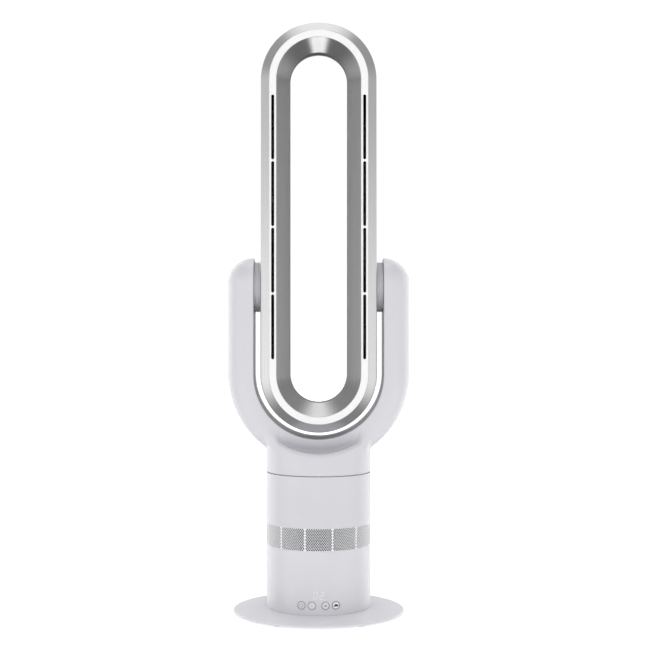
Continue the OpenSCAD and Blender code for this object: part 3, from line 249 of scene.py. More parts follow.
def shades(add, source, dark, light, dark_at=0.0, light_at=1.0):
    """A colour that runs from dark to light as the source rises."""
    ramp_node = add("ValToRGB", {"Fac": source})
    for stop, colour, position in zip(ramp_node.color_ramp.elements, (dark, light), (dark_at, light_at)):
        stop.position = position
        stop.color = (*[min(1, c) for c in colour], 1)
    return ramp_node.outputs["Color"]


def finished(name, build):
    """A material from a function that adds the nodes and returns the shader's inputs."""
    material = bpy.data.materials.new(name)
    add = shader_nodes(material)
    shader = add("BsdfPrincipled", build(add))
    add("OutputMaterial", {"Surface": shader.outputs[0]})
    return material


def moulded_plastic(name, colour, roughness, grain=0.012):
    """Injection-moulded plastic: a fine even grain, faint shade changes and slightly uneven gloss."""
    def build(add):
        where = add("TexCoord").outputs["Object"]
        cloud = add("TexNoise", {"Vector": where, "Scale": 9.0, "Detail": 2.0}).outputs["Fac"]
        fine = add("TexNoise", {"Vector": where, "Scale": 1400.0, "Detail": 3.0}).outputs["Fac"]
        gloss = add("MapRange", {"Value": fine, "To Min": roughness * 0.88, "To Max": roughness * 1.12})
        bump = add("Bump", {"Height": fine, "Strength": grain, "Distance": 0.0002})
        return {"Base Color": shades(add, cloud, [c * 0.985 for c in colour], [c * 1.012 for c in colour],
                                     0.3, 0.7),
                "Roughness": gloss.outputs["Result"], "Normal": bump.outputs["Normal"]}

    return finished(name, build)


def dress(material, *nodes):
    """Gives CAD nodes a material in every slot they have."""
    for node in nodes:
        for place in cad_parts[node].material_slots:
            place.material = material


def fit_in(piece, body, slot, *nodes):
    """Lets a piece ride on its body and stand for its nodes, whose CAD pieces it hides; the slot is not
    used.
    """
    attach(piece, body)
    if nodes:
        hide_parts(*nodes)


base_plastic = moulded_plastic("base_plastic", (0.76, 0.755, 0.79), 0.30)
base_low, base_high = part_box("base_cover")
ballast_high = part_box("ballast_disc")[1]
column_low, column_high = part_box("lower_housing")
base_r, column_r = base_high.x, column_high.x
ballast_r = ballast_high.x + ballast_gap
ballast_ceiling = ballast_high.z + fit_gap
base_cover = turned("base_cover", [
    (ballast_r, base_low.z, moulded_edge), (base_r - sole_inset, base_low.z, sole_round),
    (base_r, base_low.z + rim_height / 2, rim_round),
    (base_r - shoulder_inset, base_low.z + rim_height, shoulder_round),
    (column_r + crown_margin, base_high.z, crown_round), (axis_r, base_high.z, hairline),
    (axis_r, ballast_ceiling, hairline), (ballast_r, ballast_ceiling, moulded_edge),
], base_plastic)
fit_in(base_cover, "base", "base_grey", "base_cover")


# Ballast, feet and base screws
# A blackened steel disc lies in the plate, six rubber feet are pressed into its rim, and four
# steel screws come up through both into the column.
def metal(name, colour, roughness, wear=0.06, scale=260.0):
    """Plain machined or cast metal, with a mottled gloss and a shallow uneven surface."""
    def build(add):
        spots = add("TexNoise", {"Vector": add("TexCoord").outputs["Object"], "Scale": scale,
                                 "Detail": 4.0}).outputs["Fac"]
        gloss = add("MapRange", {"Value": spots, "To Min": roughness - wear, "To Max": roughness + wear})
        bump = add("Bump", {"Height": spots, "Strength": wear, "Distance": 0.0002})
        return {"Metallic": 1.0, "Roughness": gloss.outputs["Result"], "Normal": bump.outputs["Normal"],
                "Base Color": shades(add, spots, [c * 0.88 for c in colour], [c * 1.08 for c in colour])}

    return finished(name, build)


blackened_steel = metal("blackened_steel", (0.09, 0.09, 0.095), 0.5, 0.1)
bright_steel = metal("bright_steel", (0.62, 0.62, 0.64), 0.28)
foot_rubber = moulded_plastic("foot_rubber", (0.62, 0.62, 0.64), 0.7, grain=0.3)
dress(blackened_steel, "ballast_disc")
dress(foot_rubber, "rubber_feet")
dress(bright_steel, "base_screws")


# Foot of the column
# A black moulded floor closes the column and carries the iron counterweight, the control board
# with its key switches, and the power board behind the mains inlet with its two brass pins.
def printed_board(name):
    """Green solder-masked board with faint copper tracks under the lacquer."""
    def build(add):
        tracks = add("TexBrick", {
            "Vector": add("TexCoord").outputs["Object"], "Scale": 90.0, "Mortar": (0.03, 0.17, 0.07, 1),
            "Color1": (0.012, 0.09, 0.035, 1), "Color2": (0.015, 0.11, 0.045, 1)})
        return {"Roughness": 0.3, "Base Color": tracks.outputs["Color"]}

    return finished(name, build)


black_plastic = moulded_plastic("black_plastic", (0.022, 0.022, 0.024), 0.42, grain=0.08)
grey_iron = metal("grey_iron", (0.19, 0.19, 0.2), 0.55, 0.12, 420.0)
part_plastic = moulded_plastic("part_plastic", (0.05, 0.05, 0.055), 0.35)
solder_mask = printed_board("solder_mask")
brass = metal("brass", (0.72, 0.50, 0.20), 0.25)
dress(black_plastic, "column_floor", "mains_inlet")
dress(grey_iron, "counterweight")
dress(solder_mask, "control_board", "power_board")
dress(part_plastic, "key_switches", "power_components", "display_module")
dress(brass, "inlet_pins")


# Lower housing
# The light grey tube that holds the keys and the display: moulded in glossy plastic, with four
# round key holes in front and a square opening for the mains inlet at the back.
wall = 0.0026
edge_round = 0.0004
key_hole_gap = 0.0003
hole_reach = 0.02
hole_steps = 64
inlet_gap = 0.0002


def cut_away(piece, *tools):
    """Cuts tools out of a piece, and removes the tools."""
    for tool in tools:
        knife = piece.modifiers.new("cut", "BOOLEAN")
        knife.operation = "DIFFERENCE"
        knife.solver = "EXACT"
        knife.object = tool
    bpy.context.view_layer.update()
    shaped = bpy.data.meshes.new_from_object(
        piece.evaluated_get(bpy.context.evaluated_depsgraph_get()))
    piece.modifiers.clear()
    piece.data = shaped
    for tool in tools:
        bpy.data.objects.remove(tool)


def rod(name, start, end, radius, steps=hole_steps):
    """A closed round bar between two points, used to cut holes."""
    start, end = Vector(start), Vector(end)
    axis = (end - start).normalized()
    across = axis.orthogonal().normalized()
    over = axis.cross(across)
    angles = [2 * math.pi * k / steps for k in range(steps)]
    points = [centre + (across * math.cos(a) + over * math.sin(a)) * radius
              for centre in (start, end) for a in angles]
    faces = [(k, (k + 1) % steps, steps + (k + 1) % steps, steps + k) for k in range(steps)]
    faces += [tuple(reversed(range(steps))), tuple(range(steps, 2 * steps))]
    return new_piece(name, points, faces, None)


def block(name, low, high):
    """A closed box between two corners, used to cut openings."""
    points = [(x, y, z) for x in (low[0], high[0]) for y in (low[1], high[1]) for z in (low[2], high[2])]
    faces = [(0, 1, 3, 2), (4, 6, 7, 5), (0, 4, 5, 1), (2, 3, 7, 6), (0, 2, 6, 4), (1, 5, 7, 3)]
    return new_piece(name, points, faces, None)


def read(elements, field, width=1, kind=float):
    """One field of all points, corners or faces of a mesh, as an array."""
    found = np.zeros(len(elements) * width, kind)
    elements.foreach_get(field, found)
    return found.reshape(-1, width) if width > 1 else found


def settle_normals(piece, wanted, tolerance=20):
    """Gives each corner the wanted exact normal where its face agrees with it, or the face's own."""
    mesh = piece.data
    own = np.repeat(read(mesh.polygons, "normal", 3), read(mesh.polygons, "loop_total", kind=int), axis=0)
    exact = wanted(read(mesh.vertices, "co", 3))[read(mesh.loops, "vertex_index", kind=int)]
    agree = np.einsum("ij,ij->i", own, exact) > math.cos(math.radians(tolerance))
    mesh.normals_split_custom_set(np.where(agree[:, None], exact, own).tolist())


def tube_normals(points):
    """Outward normals of the column's wall, and inward ones on its inside."""
    out = points * (1, 1, 0)
    reach = np.linalg.norm(out, axis=1, keepdims=True)
    return out / np.maximum(reach, 1e-9) * np.where(reach > column_r - wall / 2, 1, -1)


shell_plastic = moulded_plastic("shell_plastic", (0.67, 0.665, 0.702), 0.26)
# Painted light: a paler copy of the shell plastic. The lower housing is the same plastic as the upper
# housing and yoke, lightened to stand in for more light low down.
painted_light_shell_plastic = moulded_plastic("painted_light_shell_plastic", (0.71, 0.705, 0.742), 0.26)
inlet_low, inlet_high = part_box("mains_inlet")
key_names = ("power_key", "timer_key", "mode_key", "speed_key")
key_boxes = [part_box(name) for name in key_names]
key_r = (key_boxes[0][1].x - key_boxes[0][0].x) / 2
key_places = [((low.x + high.x) / 2, (low.z + high.z) / 2) for low, high in key_boxes]
grille_low, grille_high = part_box("intake_grille")
lip = 0.004
tube_joint_low, tube_joint_high = grille_low.z + lip, grille_high.z - lip
lower_housing = turned("lower_housing", [
    (column_r - wall, column_low.z, edge_round), (column_r, column_low.z, edge_round),
    (column_r, tube_joint_low, edge_round), (column_r - wall, tube_joint_low, edge_round)
], painted_light_shell_plastic)
cut_away(
    lower_housing,
    *[rod(f"key_hole_{i}", (x, -column_r - hole_reach, z), (x, -column_r / 2, z), key_r + key_hole_gap)
      for i, (x, z) in enumerate(key_places)],
    block("inlet_hole", (inlet_low.x - inlet_gap, column_r / 2, inlet_low.z - inlet_gap),
          (inlet_high.x + inlet_gap, column_r * 2, inlet_high.z + inlet_gap)))
settle_normals(lower_housing, tube_normals)
fit_in(lower_housing, "base", "shell_grey", "lower_housing")


# Display
# Two seven-segment digits glow faintly through the housing's wall. Each segment is a small lit
# window, flush with the plastic.
segment_depth = 0.0005
segment_stand = 0.00004
digit_lean = math.radians(6)
segment_w, segment_gap = 0.001, 0.0003


def curved_plate(name, outline, outer_r, depth, material, hole=None):
    """A thin plate that follows the column's wall, from a flat outline of (x, z) points.

    An outline with a hole of as many points becomes a ring; one without is filled."""
    def on_wall(flat, radius):
        return [(x, -math.sqrt(radius ** 2 - x ** 2), z) for x, z in flat]

    count = len(outline)
    loops = [outline] + ([hole] if hole else [])
    points = []
    for loop in loops:
        points += on_wall(loop, outer_r) + on_wall(loop, outer_r - depth)
    faces = []
    for k in range(count):
        n = (k + 1) % count
        faces.append((k, count + k, count + n, n))
        if hole:
            faces.append((2 * count + n, 3 * count + n, 3 * count + k, 2 * count + k))
            faces.append((k, n, 2 * count + n, 2 * count + k))
            faces.append((count + n, count + k, 3 * count + k, 3 * count + n))
    if not hole:
        faces.append(tuple(range(count)))
        faces.append(tuple(reversed(range(count, 2 * count))))
    piece = new_piece(name, points, faces, material)
    piece.data.polygons.foreach_set("use_smooth", np.zeros(len(faces), bool))
    return piece


def joined(name, pieces):
    """Joins pieces into the first one and names it."""
    with bpy.context.temp_override(active_object=pieces[0], selected_editable_objects=pieces):
        bpy.ops.object.join()
    pieces[0].name = pieces[0].data.name = name
    return pieces[0]


def glowing(name, colour, strength):
    """A lit window: milky plastic with an even glow, a little dimmer in patches."""
    def build(add):
        cloud = add("TexNoise", {"Vector": add("TexCoord").outputs["Object"], "Scale": 300.0})
        glow = [c * strength for c in colour]
        return {"Base Color": (*colour, 1), "Roughness": 0.3, "Emission Strength": 1.0,
                "Emission Color": shades(add, cloud.outputs["Fac"], [c * 0.9 for c in glow], glow)}

    return finished(name, build)


digit_low, digit_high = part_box("display_digits")
digit_z = (digit_low.z + digit_high.z) / 2
digit_h = digit_high.z - digit_low.z
lean_reach = (digit_h - segment_w) * math.tan(digit_lean)
digit_pitch = 0.0084
digit_w = digit_high.x - digit_low.x - digit_pitch - lean_reach
digit_glow = glowing("digit_glow", (0.80, 0.80, 0.83), 0.06)
segment_marks = {"top": (0, 1), "upper_right": (1, 0.5), "lower_right": (1, -0.5), "bottom": (0, -1),
                 "lower_left": (-1, -0.5), "upper_left": (-1, 0.5), "middle": (0, 0)}
lit = ({"top", "upper_right", "lower_right", "bottom", "lower_left", "upper_left"},
       {"top", "upper_right", "bottom", "lower_left", "middle"})
half_w, half_h = (digit_w - segment_w) / 2, (digit_h - segment_w) / 2
segments = []
for digit, marks in enumerate(lit):
    for mark in sorted(marks):
        side, level = segment_marks[mark]
        flat = side == 0
        length = 2 * (half_w - segment_gap) if flat else half_h - segment_gap
        tip = segment_w / 2
        bar = [(-length / 2 + tip, -tip), (length / 2 - tip, -tip), (length / 2, 0),
               (length / 2 - tip, tip), (-length / 2 + tip, tip), (-length / 2, 0)]
        if not flat:
            bar = [(-b, a) for a, b in bar]
        placed = [(side * half_w + a + (digit - 0.5) * digit_pitch
                   + (level * half_h + b) * math.tan(digit_lean), digit_z + level * half_h + b)
                  for a, b in bar]
        segments.append(curved_plate(f"segment_{digit}_{mark}", placed, column_r + segment_stand,
                                     segment_depth, digit_glow))
display_digits = joined("display_digits", segments)
fit_in(display_digits, "base", "digit_glow", "display_digits")


# Keys
# Four round push keys in pale plastic stand a hair proud of the housing. Each is one moulding
# with a stem to its switch behind, and carries a printed ring and a plain sign of its use.
key_proud = 0.00025
key_edge = 0.0004
print_stand, sign_stand = 0.00004, 0.00012
print_depth = 0.0003
sign_steps, arc_steps = 48, 24
cap_depth, stem_r, stem_bite = 0.006, 0.0021, 0.0005


def circle_points(x, z, radius, start=0, end=360, steps=sign_steps):
    """Points of an arc, in degrees, whole circles without a doubled end."""
    whole = abs(end - start) >= 360
    parts = steps if whole else steps - 1
    return [(x + radius * math.cos(math.radians(start + (end - start) * k / parts)),
             z + radius * math.sin(math.radians(start + (end - start) * k / parts)))
            for k in range(steps)]


def printed_ring(name, x, z, radius, width, ink, stand=print_stand):
    """A printed ring on a key."""
    return curved_plate(name, circle_points(x, z, radius), column_r + key_proud + stand, print_depth,
                        ink, circle_points(x, z, radius - width))


def printed_arc(name, x, z, radius, width, start, end, ink):
    """A printed part of a ring."""
    outline = (circle_points(x, z, radius, start, end, arc_steps)
               + circle_points(x, z, radius - width, end, start, arc_steps))
    return curved_plate(name, outline, column_r + key_proud + print_stand, print_depth, ink)


def printed_shape(name, x, z, outline, ink):
    """A printed sign from points round the key's middle, in millimetres."""
    return curved_plate(name, [(x + a / 1000, z + b / 1000) for a, b in outline],
                        column_r + key_proud + sign_stand, sign_stand + print_depth, ink)


def key_cap(name, x, z, back, material):
    """The key's cap, following the housing's curve with a rounded edge, and its stem."""
    def front(across):
        return -math.sqrt((column_r + key_proud) ** 2 - across ** 2)

    cap_back = cap_depth - column_r
    edge = key_r - key_edge
    points = [(x + px, cap_back, z + pz) for px, pz in circle_points(0, 0, key_r)]
    for radius, drop in ((key_r, key_edge), (key_r - 0.3 * key_edge, 0.3 * key_edge), (edge, 0.0),
                         (key_r * 0.6, 0.0), (key_r * 0.3, 0.0)):
        points += [(x + px, front(x + px) + drop, z + pz) for px, pz in circle_points(0, 0, radius)]
    points.append((x, front(x), z))
    middle, steps = len(points) - 1, sign_steps
    faces = [(row + k, row + steps + k, row + steps + (k + 1) % steps, row + (k + 1) % steps)
             for row in range(0, middle - steps, steps) for k in range(steps)]
    faces += [(middle - steps + k, middle, middle - steps + (k + 1) % steps) for k in range(steps)]
    faces.append(tuple(range(steps)))
    cap = new_piece(name, points, faces, material)
    for face in cap.data.polygons:
        face.use_smooth = face.index >= steps
    stem = rod(name + "_stem", (x, cap_back - stem_bite, z), (x, back, z), stem_r)
    stem.data.materials.clear()
    stem.data.materials.append(material)
    return [cap, stem]


key_plastic = moulded_plastic("key_plastic", (0.79, 0.785, 0.82), 0.3)
grey_print = moulded_plastic("grey_print", (0.36, 0.36, 0.375), 0.5)
pale_print = moulded_plastic("pale_print", (0.54, 0.54, 0.555), 0.5)
mid_print = moulded_plastic("mid_print", (0.22, 0.22, 0.23), 0.5)
dark_print = moulded_plastic("dark_print", (0.05, 0.05, 0.055), 0.5)
white_print = moulded_plastic("white_print", (0.95, 0.95, 0.96), 0.4)
ring_inset, ring_width = 0.0003, 0.0007
turn_r, turn_width, turn_start, turn_end = 0.0028, 0.0008, 125, 415
timer_ring_inset, timer_ring_width = 0.0001, 0.0012
speed_ring_inset, speed_ring_width = 0.0002, 0.0008
field_inset, field_hole_r = 0.0009, 0.0001
signs = {
    "power_key": lambda x, z: [
        printed_ring("ring", x, z, key_r - ring_inset, ring_width, grey_print),
        printed_arc("turn", x, z, turn_r, turn_width, turn_start, turn_end, grey_print),
        printed_shape("stroke", x, z, [(-0.3, 0.6), (0.3, 0.6), (0.3, 3.1), (-0.3, 3.1)], grey_print)],
    "timer_key": lambda x, z: [
        printed_ring("ring", x, z, key_r - timer_ring_inset, timer_ring_width, pale_print),
        printed_shape("hand", x, z, [(-0.6, -0.6), (1.2, -0.6), (1.2, 0.3), (0.3, 0.3), (0.3, 2.0),
                                     (-0.6, 2.0)], pale_print)],
    "mode_key": lambda x, z: [
        printed_ring("ring", x, z, key_r - ring_inset, ring_width, grey_print),
        printed_shape("hill", x, z, [(-2.6, -1.1), (2.4, -1.1), (1.9, 0.0), (0.7, 1.3), (-0.5, 1.0),
                                     (-1.8, -0.2)], grey_print)],
    "speed_key": lambda x, z: [
        printed_ring("field", x, z, key_r - field_inset, key_r - field_inset - field_hole_r,
                     white_print, print_stand / 2),
        printed_ring("ring", x, z, key_r - speed_ring_inset, speed_ring_width, mid_print),
        printed_shape("hills", x, z, [(-3.2, -1.6), (3.2, -1.6), (3.0, 0.7), (2.3, 1.1), (1.5, 0.6),
                                      (0.9, 1.2), (0.3, 2.5), (-0.5, 2.6), (-1.2, 1.1), (-2.1, -0.1),
                                      (-2.9, -0.9)], dark_print)],
}
for name, (x, z), (_, high) in zip(key_names, key_places, key_boxes):
    key = joined(name, key_cap(name, x, z, high.y, key_plastic) + signs[name](x, z))
    fit_in(key, name.replace("key", "button"), "key_white", name)
natural_nylon = moulded_plastic("natural_nylon", (0.80, 0.79, 0.74), 0.45)
dress(natural_nylon, "key_guide")


# Intake grille
# A ring of thin plastic sheet with rows of fine round holes, every second row set half a pitch
# over, in twelve panels between plain upright ribs. It is moulded with a lip above and below.
hole_rows = 15
holes_per_row = 12
panel_count = 12
hole_r = 0.00106
sheet_t = 0.0009
rib_share = 0.012
hole_points = 12
grille_edge = 0.0005
joint_gap = 0.0001


def perforated_ring(name, radius, thickness, bottom, top, material):
    """A closed ring of sheet with staggered holes, whose rows of cells share their corners."""
    row_h = (top - bottom - 2 * grille_edge) / hole_rows
    panel = 2 * math.pi / panel_count
    cell = panel * (1 - rib_share) / holes_per_row
    per_panel = 2 * holes_per_row + 1
    marks = [-math.pi / 2 + panel * (p - (1 - rib_share) / 2) + k * cell / 2
             for p in range(panel_count) for k in range(per_panel)]
    columns = len(marks)
    heights = [bottom] + [bottom + grille_edge + r * row_h for r in range(hole_rows + 1)] + [top]
    flat = [(a, z) for z in heights for a in marks]
    faces, hole_loops = [], []

    def at(row, column):
        return row * columns + column % columns

    def hole_in(row, column):
        """Six faces between a hole and its cell, two columns wide."""
        ring = [len(flat) + k for k in range(hole_points)]
        hole_loops.append(ring)
        for k in range(hole_points):
            a = 2 * math.pi * k / hole_points - math.pi / 2
            flat.append((marks[column + 1] + hole_r * math.cos(a) / radius,
                         (heights[row] + heights[row + 1]) / 2 + hole_r * math.sin(a)))
        rim = [at(row + up, column + c) for up, c in ((0, 1), (0, 2), (1, 2), (1, 1), (1, 0), (0, 0))]
        for k, (here, after) in enumerate(zip(rim, rim[1:] + rim[:1])):
            faces.append((here, after, ring[(2 * k + 2) % hole_points], ring[2 * k + 1], ring[2 * k]))

    for row in range(len(heights) - 1):
        punched = 0 < row < len(heights) - 2
        for first in range(0, columns, per_panel):
            column = first
            while column < first + per_panel:
                if punched and (column - first) % 2 == row % 2 and column + 2 < first + per_panel:
                    hole_in(row, column)
                    column += 2
                else:
                    faces.append((at(row, column), at(row, column + 1),
                                  at(row + 1, column + 1), at(row + 1, column)))
                    column += 1
    count = len(flat)
    angle, level = np.array(flat).T
    points = np.concatenate([
        np.stack([r * np.cos(angle), r * np.sin(angle), level], 1) for r in (radius, radius - thickness)])
    solid = faces + [tuple(count + v for v in reversed(face)) for face in faces]
    for ring in hole_loops:
        for here, after in zip(ring, ring[1:] + ring[:1]):
            solid.append((after, here, count + here, count + after))
    for row, order in ((0, 1), (len(heights) - 1, -1)):
        for column in range(columns):
            a, b = at(row, column), at(row, column + 1)
            solid.append((b, a, count + a, count + b)[::order])
    return new_piece(name, points, solid, material)


grille_plastic = moulded_plastic("grille_plastic", (0.93, 0.93, 0.95), 0.34)
filter_foam = moulded_plastic("filter_foam", (0.12, 0.12, 0.14), 0.95, grain=0.6)
intake_grille = perforated_ring("intake_grille", column_r - joint_gap, sheet_t, tube_joint_low + joint_gap,
                                tube_joint_high - joint_gap, grille_plastic)
settle_normals(intake_grille, lambda points: points * (1, 1, 0)
               / np.linalg.norm(points * (1, 1, 0), axis=1, keepdims=True))
fit_in(intake_grille, "base", "grille_grey", "intake_grille")
dress(filter_foam, "filter_ring")


# Air mover
# Behind the filter a deck on rubber mounts carries the bellmouth and shroud, in which the motor's
# nylon impeller pushes air up past the guide vanes and the motor into the duct.
impeller_nylon = moulded_plastic("impeller_nylon", (0.12, 0.12, 0.125), 0.4)
seal_rubber = moulded_plastic("seal_rubber", (0.03, 0.03, 0.032), 0.65, grain=0.2)
motor_steel = metal("motor_steel", (0.5, 0.5, 0.52), 0.35)
dress(black_plastic, "motor_deck", "bellmouth", "fan_shroud", "diffuser", "tail_cone")
dress(seal_rubber, "rubber_mounts", "duct_seal")
dress(impeller_nylon, "impeller")
dress(motor_steel, "motor_can")
dress(bright_steel, "motor_shaft")


# Upper housing
# The second light grey tube, which holds the bearing plate of the swing drive. Its upper edge is
# softly rounded and forms the thin seam under the yoke.
seam_round = 0.0002
upper_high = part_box("upper_housing")[1]
upper_housing = turned("upper_housing", [
    (column_r - wall, tube_joint_high, edge_round), (column_r, tube_joint_high, edge_round),
    (column_r, upper_high.z, seam_round), (column_r - wall, upper_high.z, seam_round)
], shell_plastic)
fit_in(upper_housing, "base", "shell_grey", "upper_housing")


# Swing drive
# The bearing plate carries a nylon slide ring and the gear motor, whose pinion turns the toothed
# sector screwed under the turntable. A snap ring holds the turntable's journal in the plate.
turntable_plastic = moulded_plastic("turntable_plastic", (0.62, 0.62, 0.65), 0.4)
dress(black_plastic, "bearing_plate")
dress(turntable_plastic, "turntable")
dress(natural_nylon, "slide_ring", "sector_gear", "drive_pinion")
dress(motor_steel, "gear_motor")
dress(bright_steel, "bearing_screws", "gear_motor_screws", "output_shaft", "journal_clip",
      "turntable_screws")


# Yoke
# The fork that holds the loop: two thick moulded shells, front and rear, that meet in a fine line
# round the arms. The round neck runs into the fork in one soft step, without an edge.
skin_step, skin_tolerance, settle_steps = 0.0017, 4e-5, 4
split_gap, split_chamfer, split_band = 0.0001, 0.00035, 0.00049
step_round, side_round = 0.003, 0.016
step_half, blend_half = 0.040, 0.066
ledge_round = 0.006
arm_edge_round = 0.0016
foot_round = 0.0004
flank_start, flank_w = 0.016, 0.020
dome_share = 0.9
screw_hole_r = 0.0028 + fit_gap
seat_bite, seat_over, screw_bite = 0.004, 0.003, 0.0021
yoke_front_low, yoke_front_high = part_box("yoke_front_shell")
loop_low, loop_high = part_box("outer_bezel")
bush_low, bush_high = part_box("pivot_bushes")
collar_low, collar_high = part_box("right_trunnion")
bush_seat_l, bush_flange_t, bush_flange_w = 0.008, 0.0015, 0.002
pivot_z = (collar_low.z + collar_high.z) / 2
fork_in_r = bush_high.x - bush_seat_l - bush_flange_t
arm_r = yoke_front_high.x - fork_in_r
dome_h = arm_r * dome_share
dome_z = yoke_front_high.z - dome_h
loop_r = loop_high.x
arc_low_z = loop_low.z + loop_r
arc_high_z = loop_high.z - loop_r
neck_floor = yoke_front_low.z
shoulder_w = 0.017
scoop_r = fork_in_r + shoulder_w


def soft_max(a, b, radius):
    """The larger of two distances, with the edge between them rounded."""
    return np.minimum(-radius, np.maximum(a, b)) + np.hypot(np.maximum(radius + a, 0),
                                                           np.maximum(radius + b, 0))


def soft_min(a, b, radius):
    """The smaller of two distances, with the inner corner between them filled."""
    return -soft_max(-a, -b, radius)


def yoke_distance(points):
    """How far points lie outside the yoke's skin, in metres, negative inside it."""
    x, y, z = points[..., 0], points[..., 1], points[..., 2]
    from_middle = np.hypot(x, np.minimum(z - arc_low_z, 0))
    out = from_middle - fork_in_r
    above = np.maximum(z - dome_z, 0) * arm_r / dome_h
    arm = np.sqrt(out ** 2 + y ** 2 + above ** 2) - arm_r
    fork = soft_max(arm, -out, arm_edge_round)
    neck = soft_max(np.hypot(x, y) - column_r, neck_floor - z, foot_round)
    neck = soft_max(neck, np.maximum(scoop_r - from_middle, z - arc_low_z), ledge_round)
    side = np.clip((np.abs(x) - step_half) / (blend_half - step_half), 0, 1)
    front = np.clip((np.abs(y) - flank_start) / flank_w, 0, 1)
    side = side * side * (3 - 2 * side) * front * front * (3 - 2 * front)
    return soft_min(fork, neck, step_round + (side_round - step_round) * side)


def slope_of(distance, points, reach=2e-5):
    """Direction in which a distance grows, at each point."""
    slope = np.zeros(points.shape)
    for axis in range(3):
        shift = np.zeros(3)
        shift[axis] = reach
        slope[..., axis] = (distance(points + shift) - distance(points - shift)) / (2 * reach)
    return slope


def skin_over(distance, low, high, step):
    """Points and faces of the skin where a distance is zero: one point for each cell it crosses."""
    axes = [np.arange(low[k], high[k] + step, step) for k in range(3)]
    grid = np.stack(np.meshgrid(*axes, indexing="ij"), -1)
    value = distance(grid)
    inside = value < 0
    shape = np.array(value.shape)
    total = np.zeros((*(shape - 1), 3))
    count = np.zeros(shape - 1)
    crossings = []
    # Where an edge of the grid crosses the skin, the place counts for the four cells round that edge.
    for axis in range(3):
        near, far = (tuple(part if k == axis else slice(None) for k in range(3))
                     for part in (slice(None, -1), slice(1, None)))
        crossed = np.argwhere(inside[near] != inside[far])
        a = value[near][tuple(crossed.T)]
        b = value[far][tuple(crossed.T)]
        spot = crossed.astype(float)
        spot[:, axis] += a / (a - b)
        crossings.append((axis, crossed, inside[near][tuple(crossed.T)]))
        others = [k for k in range(3) if k != axis]
        for back in ((0, 0), (0, 1), (1, 0), (1, 1)):
            cell = crossed.copy()
            cell[:, others] -= back
            good = np.all((cell >= 0) & (cell < shape - 1), axis=1)
            np.add.at(total, tuple(cell[good].T), spot[good])
            np.add.at(count, tuple(cell[good].T), 1)
    # Each crossed cell gets the middle of its crossings as its point.
    used = count > 0
    number = np.full(shape - 1, -1)
    number[used] = np.arange(used.sum())
    points = total[used] / count[used][:, None] * step + np.array(low)
    # Each crossed edge gets a face between the points of its four cells, facing outwards.
    faces = []
    for axis, crossed, start_inside in crossings:
        corner = []
        for back in ((1, 1), (0, 1), (0, 0), (1, 0)):
            cell = crossed.copy()
            cell[:, [(axis + 1) % 3, (axis + 2) % 3]] -= back
            corner.append(number[tuple(cell.T)])
        quad = np.stack(corner, 1)
        quad[~start_inside] = quad[~start_inside][:, ::-1]
        faces.append(quad)
    faces = np.concatenate(faces)
    # A few steps down the slope bring the points onto the skin itself.
    for _ in range(settle_steps):
        slope = slope_of(distance, points)
        points = points - slope * (distance(points) / np.maximum((slope ** 2).sum(-1), 1e-9))[:, None]
    return points, faces


def yoke_half(name, points, faces, side, material, tools):
    """One shell of the yoke: the skin cut at the middle plane, closed there and chamfered."""
    piece = new_piece(name, points, faces.tolist(), material)
    work = bmesh.new()
    work.from_mesh(piece.data)
    for offset, cut_off in ((split_band, False), (0, True)):
        bmesh.ops.bisect_plane(
            work, geom=work.verts[:] + work.edges[:] + work.faces[:], dist=1e-7,
            plane_co=(0, side * (split_gap / 2 + offset), 0), plane_no=(0, side, 0), clear_inner=cut_off)
    rim = [edge for edge in work.edges if edge.is_boundary]
    for vertex in {v for edge in rim for v in edge.verts}:
        out = slope_of(yoke_distance, np.array(vertex.co)[None])[0]
        vertex.co -= Vector(out * (1, 0, 1)).normalized() * split_chamfer
    bmesh.ops.holes_fill(work, edges=rim, sides=0)
    bmesh.ops.recalc_face_normals(work, faces=work.faces)
    work.to_mesh(piece.data)
    work.free()
    cut_away(piece, *tools)

    def skin_normals(places):
        slope = slope_of(yoke_distance, places)
        slope /= np.maximum(np.linalg.norm(slope, axis=1, keepdims=True), 1e-9)
        return np.where(np.abs(yoke_distance(places))[:, None] < skin_tolerance, slope, 0)

    settle_normals(piece, skin_normals, 26)
    return piece


yoke_points, yoke_faces = skin_over(
    yoke_distance,
    (-fork_in_r - arm_r - 2 * skin_step, -column_r - 2 * skin_step, neck_floor - 2 * skin_step),
    (fork_in_r + arm_r + 2 * skin_step, column_r + 2 * skin_step, dome_z + dome_h + 2 * skin_step),
    skin_step)
seat_r = (bush_high.z - bush_low.z) / 2 - bush_flange_w + fit_gap


def pivot_seats():
    """Bars that cut the round seats of the pivot bushes."""
    return [rod(f"seat_{side}", (side * (fork_in_r - seat_bite), 0, pivot_z),
                (side * (fork_in_r + bush_seat_l + seat_over), 0, pivot_z), seat_r) for side in (-1, 1)]


def screw_spots(node, reach=0.02):
    """Middle points, seen from behind, of the separate solids of a node of like screws."""
    corners = np.array([v.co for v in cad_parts[node].data.vertices])[:, [0, 2]]
    spots = []
    for point in corners:
        if all(math.dist(point, spot) >= reach for spot in spots):
            near = corners[np.hypot(*(corners - point).T) < reach]
            spots.append(tuple((near.min(axis=0) + near.max(axis=0)) / 2))
    return spots


def screw_holes(node, seat, back):
    """Bars that cut the holes for a node's screw heads, from below their seat to behind the shell."""
    return [rod(f"{node}_hole_{i}", (x, seat - screw_bite, z), (x, back, z), screw_hole_r)
            for i, (x, z) in enumerate(screw_spots(node))]


yoke_screw_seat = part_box("yoke_screws")[1].y
yoke_holes = screw_holes("yoke_screws", yoke_screw_seat, 2 * column_r)
for name, side, holes in (("yoke_front_shell", -1, []), ("yoke_rear_shell", 1, yoke_holes)):
    shell = yoke_half(name, yoke_points, yoke_faces, side, shell_plastic, pivot_seats() + holes)
    fit_in(shell, "yoke", "shell_grey", name)
dress(bright_steel, "yoke_screws")


